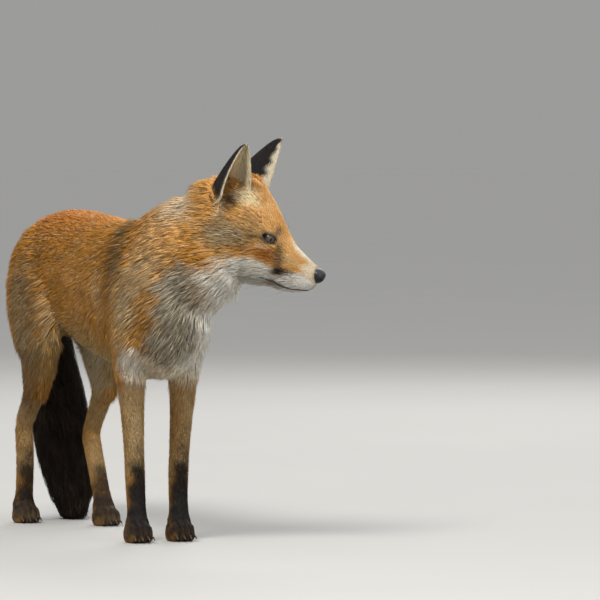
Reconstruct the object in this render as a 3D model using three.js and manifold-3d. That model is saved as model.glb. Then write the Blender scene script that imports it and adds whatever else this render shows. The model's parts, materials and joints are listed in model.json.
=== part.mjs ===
// A standing red fox at life size, as one still model: the trunk faces +X, the head is turned to the
// animal's left and a little down, and the tail hangs behind the hind legs with its tip on the floor.
// Millimetres, +Z up, +Y to the animal's left. Every solid follows the outline of the coat, out to the
// tips of the hair. The flesh is modelled whole from lofts, then parted with thin blades.
import * as THREE from "three";
import { mergeVertices } from "three/addons/utils/BufferGeometryUtils.js";
import Module from "manifold-3d";

const wasm = await Module();
wasm.setup();

// ---- Driving dimensions -------------------------------------------------------------------------

const PARTING = 0.5; // thickness of the cut between two nodes
const SEAT_GAP = 0.35; // gap round an eye or the nose pad in its seat
const SOLE_DEPTH = 3; // how far the pads reach below the floor before the flats are cut
const FLOOR_BLOCK = [900, 900, 40]; // what is cut away under the floor

// Feet and joints, in plan: x forward, y to the left of the middle of the chest.
const FORE_FOOT = { x: 126, y: 28 };
const HIND_RIGHT = { foot: [-212, -41], stifleX: -112, hockX: -214 };
const HIND_LEFT = { foot: [-126, 35], stifleX: -94, hockX: -175 };
const HIP_SWAY = -3; // the haunches stand a little to the right
const ELBOW_Z = 196;
const WRIST_Z = 62;
const HOCK_Z = 124;
const FORE_PAW = { length: 45, width: 31, height: 27 };
const HIND_PAW = { length: 46, width: 31, height: 25 };

const HEAD = {
  at: [205, 54, 393], // the middle of the skull, between the ear bases
  yaw: 53, // degrees to the left
  pitch: 17, // degrees nose down
  roll: 4.5, // degrees, the left ear carried higher
};

// In the head's own frame: x to the nose, y to the left, z to the crown.
const EYE = { radius: 8.5, x: 62, y: 20.5, z: 2.5 };
const NOSE = { at: [128.5, 0, -27], radii: [10.5, 10, 9.5], turn: 20 };
const EAR = { height: 89, halfWidth: 26, depth: 39, wall: 4.2 };

const COLOURS = {
  coat: 0xb8682a,
  leg: 0xa8713f,
  chin: 0xcfc4b4,
  stocking: 0x2b221f,
  earBack: 0x2a2426,
  brush: 0x241d1e,
  nose: 0x16151a,
  eye: 0x4a4a48,
};

// ---- Lofts --------------------------------------------------------------------------------------

const FORWARD = new THREE.Vector3(1, 0, 0);
const LEFT = new THREE.Vector3(0, 1, 0);
const UP = new THREE.Vector3(0, 0, 1);

const vector = (p) => new THREE.Vector3(...p);
const spline = (points) => new THREE.CatmullRomCurve3(points, false, "catmullrom", 0.5);

/** A point of a superellipse ring: square 2 is an ellipse, more is boxier; keel narrows the lower half. */
function ringPoint(angle, { side, up, down, square, keel }) {
  const power = 2 / square;
  const across = Math.sign(Math.cos(angle)) * Math.abs(Math.cos(angle)) ** power;
  const along = Math.sign(Math.sin(angle)) * Math.abs(Math.sin(angle)) ** power;
  const narrowing = along < 0 ? 1 + keel * along : 1;
  return [side * across * narrowing, along * (along > 0 ? up : down)];
}

/**
 * A closed body through stations, each { at, side, up, down, square, keel }. The ring's "up" leans to
 * `top`, so a leg takes FORWARD and its up and down are its front and back. The rings stand square to
 * the centre line, or to `facing` where it is given. Both ends are domes.
 */
function loft(stations, { sides, rings, top = UP, facing, domes = [10, 10] }) {
  const full = stations.map((s) => ({ square: 2, keel: 0, down: s.up, ...s }));
  const centres = spline(full.map((s) => vector(s.at)));
  const sizes = spline(full.map((s) => new THREE.Vector3(s.side, s.up, s.down)));
  const forms = spline(full.map((s) => new THREE.Vector3(s.square, s.keel, 0)));
  const domeRings = Math.max(...domes) < 5 ? 0 : 2;
  const positions = [];

  const addRing = (t, slide, scale) => {
    const centre = centres.getPoint(t);
    const tangent = facing ?? centres.getTangent(t);
    const across = new THREE.Vector3().crossVectors(top, tangent).normalize();
    const upward = new THREE.Vector3().crossVectors(tangent, across);
    centre.addScaledVector(tangent, slide);
    const size = sizes.getPoint(t);
    const form = forms.getPoint(t);
    const section = { side: size.x, up: size.y, down: size.z, square: form.x, keel: form.y };
    for (let i = 0; i < sides; i++) {
      const [a, b] = ringPoint((2 * Math.PI * i) / sides, section);
      const p = centre.clone().addScaledVector(across, a * scale).addScaledVector(upward, b * scale);
      positions.push(p.x, p.y, p.z);
    }
  };
  for (let i = domeRings; i > 0; i--) {
    const angle = (Math.PI / 2) * (i / (domeRings + 1));
    addRing(0, -domes[0] * Math.sin(angle), Math.cos(angle));
  }
  for (let i = 0; i <= rings; i++) addRing(i / rings, 0, 1);
  for (let i = 1; i <= domeRings; i++) {
    const angle = (Math.PI / 2) * (i / (domeRings + 1));
    addRing(1, domes[1] * Math.sin(angle), Math.cos(angle));
  }
  const ringCount = rings + 1 + 2 * domeRings;
  const first = centres.getPoint(0).addScaledVector(facing ?? centres.getTangent(0), -domes[0]);
  const last = centres.getPoint(1).addScaledVector(facing ?? centres.getTangent(1), domes[1]);
  positions.push(...first, ...last);
  return closedGeometry(positions, sides, ringCount);
}

/** Joins rings of equal count, with a pole vertex before the first and after the last. */
function closedGeometry(positions, sides, ringCount) {
  const index = [];
  const firstPole = ringCount * sides;
  for (let i = 0; i < sides; i++) {
    const j = (i + 1) % sides;
    index.push(firstPole, j, i);
    index.push(firstPole + 1, (ringCount - 1) * sides + i, (ringCount - 1) * sides + j);
    for (let r = 0; r < ringCount - 1; r++) {
      const [a, b, c, d] = [r * sides + i, r * sides + j, (r + 1) * sides + i, (r + 1) * sides + j];
      index.push(a, b, d, a, d, c);
    }
  }
  const geometry = new THREE.BufferGeometry();
  geometry.setAttribute("position", new THREE.Float32BufferAttribute(positions, 3));
  geometry.setIndex(index);
  return geometry;
}

/** An ellipsoid, turned by degrees about X, Y and Z. */
function ellipsoid(at, radii, turn = [0, 0, 0], detail = 16) {
  const geometry = new THREE.SphereGeometry(1, detail, Math.round(detail * 0.7));
  const rotation = new THREE.Euler(...turn.map(THREE.MathUtils.degToRad));
  const matrix = new THREE.Matrix4().compose(
    vector(at),
    new THREE.Quaternion().setFromEuler(rotation),
    vector(radii),
  );
  return geometry.applyMatrix4(matrix);
}

// ---- Solids -------------------------------------------------------------------------------------

function toSolid(geometry, matrix = new THREE.Matrix4()) {
  const bare = geometry.clone().applyMatrix4(matrix);
  bare.deleteAttribute("normal");
  bare.deleteAttribute("uv");
  const merged = mergeVertices(bare, 1e-4);
  const mesh = new wasm.Mesh({
    numProp: 3,
    vertProperties: merged.attributes.position.array,
    triVerts: new Uint32Array(merged.index.array),
  });
  return new wasm.Manifold(mesh);
}

function toGeometry(solid) {
  const { numProp, numVert, vertProperties, triVerts } = solid.getMesh();
  const positions = new Float32Array(numVert * 3);
  for (let i = 0; i < numVert; i++) {
    positions.set(vertProperties.subarray(i * numProp, i * numProp + 3), i * 3);
  }
  const geometry = new THREE.BufferGeometry();
  geometry.setAttribute("position", new THREE.BufferAttribute(positions, 3));
  geometry.setIndex(new THREE.BufferAttribute(triVerts, 1));
  return geometry;
}

const joined = (solids) => solids.reduce((whole, solid) => whole.add(solid));

// ---- Trunk, neck and tail -----------------------------------------------------------------------

function trunk() {
  const section = (x, top, bottom, side, square, keel) => {
    const middle = bottom + (top - bottom) * 0.56;
    return { at: [x, 0, middle], side, up: top - middle, down: middle - bottom, square, keel };
  };
  return loft(
    [
      section(-248, 362, 288, 34, 2.2, 0),
      section(-222, 388, 266, 47, 2.2, 0),
      section(-178, 401, 250, 55, 2.2, 0.05),
      section(-125, 404, 240, 54, 2.2, 0.1),
      section(-65, 400, 228, 56, 2.2, 0.12),
      section(0, 393, 216, 62, 2.2, 0.15),
      section(60, 393, 205, 64, 2.2, 0.2),
      section(105, 398, 200, 62, 2.2, 0.25),
      section(150, 392, 203, 58, 2.2, 0.2),
      section(190, 368, 222, 46, 2.1, 0.1),
    ],
    { sides: 20, rings: 11, facing: FORWARD, domes: [20, 24] },
  );
}

function neck() {
  return loft(
    [
      { at: [100, 0, 318], side: 50, up: 72, down: 76 },
      { at: [142, 6, 334], side: 58, up: 74, down: 78 },
      { at: [170, 19, 350], side: 60, up: 74, down: 76 },
      { at: [190, 35, 367], side: 58, up: 68, down: 72 },
      { at: [206, 54, 382], side: 50, up: 56, down: 60 },
    ],
    { sides: 18, rings: 6, domes: [10, 14] },
  );
}

function tail(grow = 0) {
  const section = (x, y, z, side, depth) => ({ at: [x, y, z], side: side + grow, up: depth + grow });
  return loft(
    [
      section(-222, 0, 362, 17, 19),
      section(-250, 1, 340, 23, 21),
      section(-268, 4, 300, 28, 25),
      section(-272, 9, 250, 33, 31),
      section(-266, 14, 200, 36, 35),
      section(-256, 21, 150, 37.5, 37),
      section(-247, 28, 100, 37.5, 37),
      section(-242, 33, 55, 34, 33),
      section(-240, 36, 22, 24, 23),
    ],
    { sides: 14, rings: 12, top: FORWARD, domes: [8 + grow, 24 + grow] },
  );
}

// ---- Legs ---------------------------------------------------------------------------------------

/**
 * A paw whose middle stands at (x, y), lofted across its width: v runs from -1 to 1, and the front and
 * the back of the foot swell at the four toes, which are where |sin(2 pi v)| is 1. Each toe has a claw.
 */
function paw([x, y], { length, width, height }) {
  const slices = 16;
  const middle = height * 0.4;
  const front = (v, lobe) => length * (0.44 + 0.08 * lobe - 0.17 * v * v);
  const stations = [];
  for (let i = 0; i <= slices; i++) {
    const v = (2 * i) / slices - 1;
    const lobe = Math.abs(Math.sin(2 * Math.PI * v));
    const back = length * (0.2 + 0.28 * Math.sqrt(1 - v * v * 0.96));
    const rise = height * (0.3 + 0.7 * Math.sqrt(1 - v * v * 0.9)) - 2.5 * (1 - lobe);
    stations.push({
      at: [x + (front(v, lobe) - back) / 2, y + (v * width) / 2, middle],
      side: (front(v, lobe) + back) / 2,
      up: rise - middle,
      down: middle + SOLE_DEPTH * (0.4 + 0.6 * lobe),
      square: 2.4,
    });
  }
  const size = { sides: 8, rings: slices, facing: LEFT, domes: [1.5, 1.5] };
  const solids = [toSolid(loft(stations, size))];
  for (const v of [-0.75, -0.25, 0.25, 0.75]) {
    const claw = new THREE.ConeGeometry(2, 13, 3);
    claw.rotateZ(-Math.PI / 2 - 0.5).translate(x + front(v, 1), y + (v * width) / 2, height * 0.25);
    solids.push(toSolid(claw));
  }
  return solids;
}

function foreleg(mirror) {
  const foot = [FORE_FOOT.x, mirror * FORE_FOOT.y];
  const leg = loft(
    [
      { at: [146, mirror * 26, 318], side: 28, up: 40, down: 46 },
      { at: [136, mirror * 34, 268], side: 27, up: 36, down: 46 },
      { at: [124, mirror * 36, 222], side: 21, up: 25, down: 33 },
      { at: [121, mirror * 34.5, 185], side: 16.5, up: 19, down: 20 },
      { at: [120, mirror * 32, 145], side: 14, up: 17, down: 16 },
      { at: [119.5, mirror * 30, 105], side: 12.8, up: 14.5, down: 14 },
      { at: [119.5, mirror * 29, 82], side: 13, up: 14, down: 14.5 },
      { at: [120.5, mirror * 28.3, 55], side: 12.2, up: 12.5, down: 12.5 },
      { at: [123, foot[1], 28], side: 13.5, up: 14, down: 12 },
    ],
    { sides: 10, rings: 11, top: FORWARD, domes: [20, 12] },
  );
  return [toSolid(leg), ...paw(foot, FORE_PAW)];
}

function hindLeg({ foot, stifleX, hockX }) {
  const [footX, footY] = foot;
  const mirror = Math.sign(footY);
  const hip = (y) => mirror * y + HIP_SWAY;
  const thigh = loft(
    [
      { at: [-182, hip(22), 366], side: 26, up: 46, down: 52 },
      { at: [-180, hip(33), 330], side: 30, up: 60, down: 71 },
      { at: [-172, hip(38), 290], side: 29, up: 64, down: 74 },
      { at: [(stifleX - 212) / 2, hip(41), 250], side: 25, up: 57, down: 62 },
      { at: [(stifleX - 194) / 2, hip(42), 215], side: 20, up: 46, down: 48 },
      { at: [(stifleX + hockX) / 2, hip(42), 175], side: 16, up: 26, down: 27 },
    ],
    { sides: 12, rings: 7, top: FORWARD, domes: [14, 22] },
  );
  const shank = loft(
    [
      { at: [stifleX * 0.6 + hockX * 0.4, hip(42), 196], side: 16, up: 25, down: 28 },
      { at: [stifleX * 0.3 + hockX * 0.7, hip(41), 158], side: 12.8, up: 17, down: 17 },
      { at: [hockX + 3, hip(40), 128], side: 11.8, up: 13.5, down: 16 },
      { at: [hockX, (hip(39) + footY) / 2, 110], side: 12, up: 13, down: 16 },
      { at: [(hockX * 2 + footX) / 3, footY, 78], side: 12, up: 12.5, down: 13 },
      { at: [(hockX + footX * 2) / 3 - 3, footY, 48], side: 12, up: 12.5, down: 12.5 },
      { at: [footX - 8, footY, 26], side: 13.5, up: 14, down: 12 },
    ],
    { sides: 10, rings: 10, top: FORWARD, domes: [8, 12] },
  );
  return [toSolid(thigh), toSolid(shank), ...paw(foot, HIND_PAW)];
}

// ---- Head ---------------------------------------------------------------------------------------

/** From the head's own frame to the part's frame. */
const HEAD_PLACE = new THREE.Matrix4().compose(
  vector(HEAD.at),
  new THREE.Quaternion().setFromEuler(
    new THREE.Euler(...[HEAD.roll, HEAD.pitch, HEAD.yaw].map(THREE.MathUtils.degToRad), "ZYX"),
  ),
  new THREE.Vector3(1, 1, 1),
);

function skull() {
  const section = (x, top, widest, bottom, side, square) => ({
    at: [x, 0, widest],
    side,
    up: top - widest,
    down: widest - bottom,
    square,
  });
  return loft(
    [
      section(-42, 43, -8, -52, 43, 2),
      section(-18, 57, -14, -60, 51, 2),
      section(8, 63.5, -20, -63, 54.5, 2.1),
      section(28, 61, -24, -63, 50, 2.1),
      section(45, 51.5, -24, -62.5, 41, 2.1),
      section(58, 38, -24, -62, 33.5, 2.15),
      section(68, 27, -24, -61, 28, 2.2),
      section(78, 15, -25, -60.5, 23.5, 2.3),
      section(90, 2.5, -27, -59, 19.5, 2.3),
      section(104, -6, -30, -56, 17.5, 2.4),
      section(117, -12.5, -32, -52, 15.5, 2.3),
      section(126, -17, -32, -46, 12.5, 2.2),
    ],
    { sides: 20, rings: 12, facing: FORWARD, domes: [14, 4] },
  );
}

/** The pinna: a C-shaped wall lofted from its base to its tip, opening along +X of its own frame. */
function ear() {
  const rings = 8;
  const across = 6;
  const positions = [];
  const sides = 2 * (across + 1);
  for (let r = 0; r <= rings; r++) {
    const h = r / rings;
    const taper = Math.sqrt(Math.max(0, 1 - h ** 1.9)) * (1 - 0.28 * h);
    const width = EAR.halfWidth * (0.78 + 0.75 * h * (1 - h)) * taper + 1.6;
    const depth = EAR.depth * taper * (1 - 0.2 * h) + 1.6;
    const wall = Math.min(EAR.wall, 0.8 * depth) * (1 - 0.3 * h);
    const sweep = THREE.MathUtils.degToRad(106 - 22 * h);
    const lean = -5 * h * h;
    for (let side = 0; side < 2; side++) {
      const inset = side ? wall : 0;
      for (let i = 0; i <= across; i++) {
        const angle = sweep * ((2 * i) / across - 1) * (side ? 1 : -1);
        positions.push(
          lean - (depth - inset) * Math.cos(angle),
          (width - inset) * Math.sin(angle),
          EAR.height * h,
        );
      }
    }
  }
  const foot = [-EAR.depth * 0.9, 0, -2];
  const tip = [-5, 0, EAR.height + 1.5];
  positions.push(...foot, ...tip);
  return closedGeometry(positions, sides, rings + 1);
}

function earPlace(at, openingYaw, outward, forward) {
  const turn = new THREE.Euler(...[outward, forward, openingYaw].map(THREE.MathUtils.degToRad), "XYZ");
  return new THREE.Matrix4().compose(
    vector(at),
    new THREE.Quaternion().setFromEuler(turn),
    new THREE.Vector3(1, 1, 1),
  );
}

const EAR_RIGHT = earPlace([7, -34, 18], -39, 9, 4);
const EAR_LEFT = earPlace([13, 32, 26], 39, -10, 14);

function headSolids() {
  const inHead = (geometry, place = new THREE.Matrix4()) =>
    toSolid(geometry, HEAD_PLACE.clone().multiply(place));
  const solids = [inHead(skull())];
  for (const side of [-1, 1]) {
    solids.push(inHead(ellipsoid([2, side * 33, -34], [42, 20, 29], [0, 0, side * -16], 10)));
  }
  solids.push(inHead(ear(), EAR_RIGHT), inHead(ear(), EAR_LEFT));
  return solids;
}

// ---- Blades that part the flesh -----------------------------------------------------------------

const IN_PART = new THREE.Matrix4();

/** A thin disc centred at `at`, its faces square to `normal`. */
function disc(at, normal, radius, frame = IN_PART) {
  const turn = new THREE.Quaternion().setFromUnitVectors(
    new THREE.Vector3(0, 1, 0),
    vector(normal).normalize(),
  );
  const place = new THREE.Matrix4().compose(vector(at), turn, new THREE.Vector3(1, 1, 1));
  return toSolid(new THREE.CylinderGeometry(radius, radius, PARTING, 20), frame.clone().multiply(place));
}

/** The closed mouth: a thin wall that follows the lips to their corner and on to the neck. */
function mouthBlade() {
  const lips = spline(
    [
      [150, 0, -47],
      [126, 0, -46],
      [108, 0, -51],
      [92, 0, -50],
      [76, 0, -46.5],
      [58, 0, -45.5],
      [40, 0, -50],
      [19, 0, -57],
    ].map(vector),
  );
  const steps = 10;
  const halfWidth = 60;
  const positions = [];
  for (let i = 0; i <= steps; i++) {
    const middle = lips.getPoint(i / steps);
    const along = lips.getTangent(i / steps);
    const lift = new THREE.Vector3(along.z, 0, -along.x).multiplyScalar(PARTING / 2);
    for (const [across, side] of [[1, 1], [1, -1], [-1, -1], [-1, 1]]) {
      const corner = middle.clone().addScaledVector(lift, side);
      positions.push(corner.x, across * halfWidth, corner.z);
    }
  }
  positions.push(...lips.getPoint(0), ...lips.getPoint(1));
  return toSolid(closedGeometry(positions, 4, steps + 1), HEAD_PLACE);
}

function blades() {
  const legs = [-1, 1].flatMap((side) => [
    disc([121, side * 35, ELBOW_Z], [0, 0, 1], 30),
    disc([120, side * 28.5, WRIST_Z], [0, 0, 1], 20),
  ]);
  for (const { foot, hockX } of [HIND_RIGHT, HIND_LEFT]) {
    legs.push(disc([hockX + 2, foot[1], HOCK_Z], [0.35, 0, 1], 24));
    legs.push(disc([(hockX + foot[0] * 2) / 3 - 3, foot[1], 44], [hockX - foot[0], 0, 84], 22));
  }
  return joined([
    ...legs,
    disc([-168, 0, 240], [0.34, 0, 1], 112),
    disc([158, 12, 350], [0.78, 0.12, 0.62], 118),
    disc([-3, -14, -11], [0.88, 0, 0.47], 91, HEAD_PLACE),
    disc([6, -36, 46], [0, -1, 1], 38, HEAD_PLACE),
    disc([18, 36, 46], [0, 1, 1], 38, HEAD_PLACE),
    mouthBlade(),
  ]);
}

// ---- Nodes --------------------------------------------------------------------------------------

/** A ball seated in the head, `grow` larger all round where it stands for its socket. */
function eyeball(side, grow = 0) {
  const ball = new THREE.SphereGeometry(EYE.radius + grow, 12, 8);
  ball.translate(EYE.x, side * EYE.y, EYE.z);
  return toSolid(ball, HEAD_PLACE);
}

function nosePad(grow = 0) {
  const radii = NOSE.radii.map((radius) => radius + grow);
  return toSolid(ellipsoid(NOSE.at, radii, [0, NOSE.turn, 0], 12), HEAD_PLACE);
}

const pointInHead = (point) => vector(point).applyMatrix4(HEAD_PLACE).toArray();

/** The nodes of flesh, each with a point near its middle and its colour. */
const FLESH_NODES = [
  ["trunk", [-25, 0, 300], COLOURS.coat],
  ["neck", [178, 20, 350], COLOURS.coat],
  ["head", pointInHead([45, 0, 5]), COLOURS.coat],
  ["lower_jaw", pointInHead([75, 0, -65]), COLOURS.chin],
  ["ear_right", pointInHead([6, -44, 85]), COLOURS.earBack],
  ["ear_left", pointInHead([20, 44, 90]), COLOURS.earBack],
  ...[["right", HIND_RIGHT, -1], ["left", HIND_LEFT, 1]].flatMap(([name, hind, side]) => [
    [`foreleg_${name}`, [120, side * 34, 130], COLOURS.leg],
    [`forepaw_${name}`, [FORE_FOOT.x, side * FORE_FOOT.y, 30], COLOURS.stocking],
    [`hindleg_${name}`, [-172, side * 40, 190], COLOURS.leg],
    [`hock_${name}`, [(hind.hockX * 2 + hind.foot[0]) / 3, hind.foot[1], 85], COLOURS.leg],
    [`hindpaw_${name}`, [...hind.foot, 25], COLOURS.stocking],
  ]),
];

const fox = new THREE.Group();

function addNode(name, solid, colour, roughness = 0.85) {
  const material = new THREE.MeshStandardMaterial({ color: colour, roughness, metalness: 0 });
  const mesh = new THREE.Mesh(toGeometry(solid), material);
  mesh.name = name;
  fox.add(mesh);
}

/** The node whose point lies nearest to the middle of a piece. */
function nodeOf(piece) {
  const { min, max } = piece.boundingBox();
  const middle = vector(min).add(vector(max)).multiplyScalar(0.5);
  const distance = ([, point]) => middle.distanceTo(vector(point));
  return FLESH_NODES.reduce((best, node) => (distance(node) < distance(best) ? node : best));
}

const underFloor = toSolid(new THREE.BoxGeometry(...FLOOR_BLOCK).translate(0, 0, -FLOOR_BLOCK[2] / 2));
const flesh = joined([
  toSolid(trunk()),
  toSolid(neck()),
  ...foreleg(-1),
  ...foreleg(1),
  ...hindLeg(HIND_RIGHT),
  ...hindLeg(HIND_LEFT),
  ...headSolids(),
]);
const seats = [toSolid(tail(PARTING)), eyeball(-1, SEAT_GAP), eyeball(1, SEAT_GAP), nosePad(SEAT_GAP)];
const parted = flesh.subtract(joined([...seats, underFloor])).subtract(blades());
for (const piece of parted.decompose()) {
  const [name, , colour] = nodeOf(piece);
  addNode(name, piece, colour);
}
addNode("tail", toSolid(tail()).subtract(underFloor), COLOURS.brush);
addNode("nose", nosePad(), COLOURS.nose, 0.4);
addNode("eye_right", eyeball(-1), COLOURS.eye, 0.1);
addNode("eye_left", eyeball(1), COLOURS.eye, 0.1);

// The origin is on the floor under the middle of the whole fox.
const bounds = new THREE.Box3().setFromObject(fox);
const middle = bounds.getCenter(new THREE.Vector3());
fox.position.set(-middle.x, -middle.y, -bounds.min.z);

export default fox;
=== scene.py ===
"""A standing red fox at life size: one skin under a coat of mesh tufts, with eyes, lids, nose, lips,
whiskers, ears and claws.

Lengths are metres. Two frames are used besides the model's own:

- the body frame: the model's axes, with its origin on the floor under the middle of the chest line;
- the head frame: x to the nose, y to the fox's left, z to the crown, between the ear bases.
"""

from __future__ import annotations

import json
import logging
import math
from collections.abc import Callable, Iterable, Iterator
from contextlib import contextmanager
from dataclasses import dataclass, field, fields
from enum import Enum
from typing import TypeVar

import bmesh
import bpy
import numpy as np
from mathutils import Matrix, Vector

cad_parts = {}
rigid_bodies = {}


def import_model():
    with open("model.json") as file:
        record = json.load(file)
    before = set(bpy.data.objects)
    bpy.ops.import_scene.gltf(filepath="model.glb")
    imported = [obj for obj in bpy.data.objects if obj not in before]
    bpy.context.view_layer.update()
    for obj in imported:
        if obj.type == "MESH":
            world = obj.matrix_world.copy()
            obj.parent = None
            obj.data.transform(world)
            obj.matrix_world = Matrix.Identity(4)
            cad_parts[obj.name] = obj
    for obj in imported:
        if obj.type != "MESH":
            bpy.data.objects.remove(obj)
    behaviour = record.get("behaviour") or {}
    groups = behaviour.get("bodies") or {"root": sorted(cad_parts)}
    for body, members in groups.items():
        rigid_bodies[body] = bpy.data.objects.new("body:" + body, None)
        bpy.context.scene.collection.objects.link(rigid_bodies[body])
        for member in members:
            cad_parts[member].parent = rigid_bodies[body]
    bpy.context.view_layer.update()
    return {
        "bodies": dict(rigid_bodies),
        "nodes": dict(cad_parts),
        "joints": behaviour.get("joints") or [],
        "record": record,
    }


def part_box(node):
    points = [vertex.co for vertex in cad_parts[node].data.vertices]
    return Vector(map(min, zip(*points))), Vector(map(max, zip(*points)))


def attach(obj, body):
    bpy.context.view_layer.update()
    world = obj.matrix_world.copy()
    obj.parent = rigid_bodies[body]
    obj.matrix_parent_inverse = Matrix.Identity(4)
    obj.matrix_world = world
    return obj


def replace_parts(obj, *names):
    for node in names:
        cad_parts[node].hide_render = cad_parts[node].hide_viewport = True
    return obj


logging.basicConfig(level=logging.INFO, format="%(name)s: %(message)s")
log = logging.getLogger("fox")

Array = np.ndarray
Vec3 = tuple[float, float, float]
Span = tuple[float, float]
Dress = Callable[[bpy.types.Object, str], None]
Ball = TypeVar("Ball", "Zone", "Patch")

MM = 0.001
BODY = "root"
COLOUR_LAYER = "tone"
FLOW_LAYER = "OFBake"
FLESH_NODES = (
    "trunk", "neck", "head", "lower_jaw", "tail",
    "foreleg_right", "foreleg_left", "forepaw_right", "forepaw_left",
    "hindleg_right", "hindleg_left", "hock_right", "hock_left",
    "hindpaw_right", "hindpaw_left",
)
EAR_NODES = ("ear_right", "ear_left")
# The skin and the ears' skin under the coat are darker copies of the coat's colours: painted shade between
# the tufts.
SKIN_GAP_SHADE = 0.66
EAR_GAP_SHADE = 0.75
EYE_NODES = ("eye_right", "eye_left")


# ---- Vectors and frames ---------------------------------------------------------------------------


def unit(vectors: Array) -> Array:
    """Scales each row to length one."""
    return vectors / np.maximum(np.linalg.norm(vectors, axis=-1, keepdims=True), 1e-12)


def dot(a: Array, b: Array) -> Array:
    """Row by row scalar product, kept as a column."""
    return (a * b).sum(-1, keepdims=True)


def smoothstep(low: float, high: float, value: Array) -> Array:
    """Rises smoothly from 0 at low to 1 at high."""
    t = np.clip((value - low) / (high - low), 0.0, 1.0)
    return t * t * (3.0 - 2.0 * t)


def mixed(first: Array, second: Array | Vec3, share: Array) -> Array:
    """Lays a second colour over the first, by a share from 0 to 1 for each row."""
    return first * (1 - share) + np.array(second) * share


def folded(points: Array) -> Array:
    """The same places with both sides folded on to the left one."""
    return points * [1, 0, 1] + np.abs(points) * [0, 1, 0]


def turn(axis: int, degrees: float) -> Array:
    """The 3 x 3 rotation about one axis: 0 is x, 1 is y and 2 is z."""
    c, s = math.cos(math.radians(degrees)), math.sin(math.radians(degrees))
    a, b = [(1, 2), (2, 0), (0, 1)][axis]
    m = np.eye(3)
    m[a, a], m[a, b], m[b, a], m[b, b] = c, -s, s, c
    return m


@dataclass
class Place:
    """A frame: a rotation whose columns are its axes, and its origin."""

    axes: Array
    origin: Array

    def out(self, points: Array) -> Array:
        """From this frame to the model's."""
        return np.asarray(points) @ self.axes.T + self.origin

    def into(self, points: Array) -> Array:
        """From the model's frame to this one."""
        return (np.asarray(points) - self.origin) @ self.axes

    def within(self, at: Array, axes: Array) -> Place:
        """A frame placed in this one."""
        return Place(self.axes @ axes, self.out(at))


def offsets(balls: Iterable[Ball], place: Place, points: Array) -> Iterator[tuple[Ball, Array]]:
    """Pairs each zone or patch with the way to every point from its centre, in millimetres."""
    local = place.into(points) / MM
    both = folded(local)
    for ball in balls:
        yield ball, (both if ball.both else local) - np.array(ball.centre)


@dataclass(frozen=True)
class HeadPose:
    """How the head is carried, in the body frame."""

    at: Vec3 = (0.205, 0.054, 0.393)
    yaw: float = 53.0
    pitch: float = 17.0
    roll: float = 4.5
    eye: Vec3 = (0.062, 0.0205, 0.0025)

    def places(self) -> tuple[Place, Place]:
        """Finds the body and head frames from where the eyeballs are.

        Returns:
            The body frame and the head frame.
        """
        axes = turn(2, self.yaw) @ turn(1, self.pitch) @ turn(0, self.roll)
        corners = [np.array(corner) for node in EYE_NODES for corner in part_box(node)]
        between_eyes = np.mean(corners, axis=0)
        origin = between_eyes - axes @ np.array([self.eye[0], 0.0, self.eye[2]])
        return Place(np.eye(3), origin - np.array(self.at)), Place(axes, origin)


# ---- Meshes ---------------------------------------------------------------------------------------


def write_mesh(name: str, points: Array, faces: Array, uv: Array | None = None,
               tones: Array | None = None) -> bpy.types.Object:
    """Puts arrays into a new object at the origin.

    Args:
        name: the piece's name.
        points: N x 3 places.
        faces: F x 3 or F x 4 corners.
        uv: one pair for each point, for the map of the tufts' places.
        tones: N x 3 linear colours.

    Returns:
        The object, linked to the scene.
    """
    sides = faces.shape[1]
    mesh = bpy.data.meshes.new(name)
    mesh.vertices.add(len(points))
    mesh.vertices.foreach_set("co", np.ascontiguousarray(points, np.float32).ravel())
    mesh.loops.add(faces.size)
    mesh.loops.foreach_set("vertex_index", np.ascontiguousarray(faces, np.int32).ravel())
    mesh.polygons.add(len(faces))
    mesh.polygons.foreach_set("loop_start", np.arange(0, faces.size, sides, dtype=np.int32))
    mesh.polygons.foreach_set("use_smooth", np.ones(len(faces), bool))
    mesh.update(calc_edges=True)
    if uv is not None:
        layer = mesh.uv_layers.new(name=FLOW_LAYER)
        layer.data.foreach_set("uv", uv[faces.ravel()].astype(np.float32).ravel())
    if tones is not None:
        layer = mesh.color_attributes.new(COLOUR_LAYER, "FLOAT_COLOR", "POINT")
        rgba = np.concatenate([tones, np.ones((len(tones), 1))], 1)
        layer.data.foreach_set("color", rgba.astype(np.float32).ravel())
    obj = bpy.data.objects.new(name, mesh)
    bpy.context.scene.collection.objects.link(obj)
    return obj


def read_mesh(mesh: bpy.types.Mesh) -> tuple[Array, Array]:
    """Takes a mesh as arrays.

    Returns:
        N x 3 points and F x 3 corners.
    """
    points = np.empty(len(mesh.vertices) * 3, np.float32)
    mesh.vertices.foreach_get("co", points)
    mesh.calc_loop_triangles()
    corners = np.empty(len(mesh.loop_triangles) * 3, np.int32)
    mesh.loop_triangles.foreach_get("vertices", corners)
    return points.reshape(-1, 3).astype(float), corners.reshape(-1, 3)


@contextmanager
def edited(mesh: bpy.types.Mesh) -> Iterator[bmesh.types.BMesh]:
    """Opens a mesh for editing, and writes it back at the end."""
    made = bmesh.new()
    made.from_mesh(mesh)
    yield made
    made.to_mesh(mesh)
    made.free()


def weld(obj: bpy.types.Object) -> bpy.types.Object:
    """Merges poles and makes the faces of a closed piece look outwards."""
    with edited(obj.data) as made:
        bmesh.ops.remove_doubles(made, verts=made.verts, dist=1e-6)
        bmesh.ops.recalc_face_normals(made, faces=made.faces)
    return obj


def turn_outwards(obj: bpy.types.Object, way: Array) -> bpy.types.Object:
    """Turns an open sheet's faces so that, on the whole, they look the given way.

    Args:
        obj: the piece.
        way: the side it should face.

    Returns:
        The same piece.
    """
    with edited(obj.data) as made:
        total = sum(np.array(face.normal[:]) * face.calc_area() for face in made.faces)
        if total @ way < 0:
            bmesh.ops.reverse_faces(made, faces=made.faces)
    return obj


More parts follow.
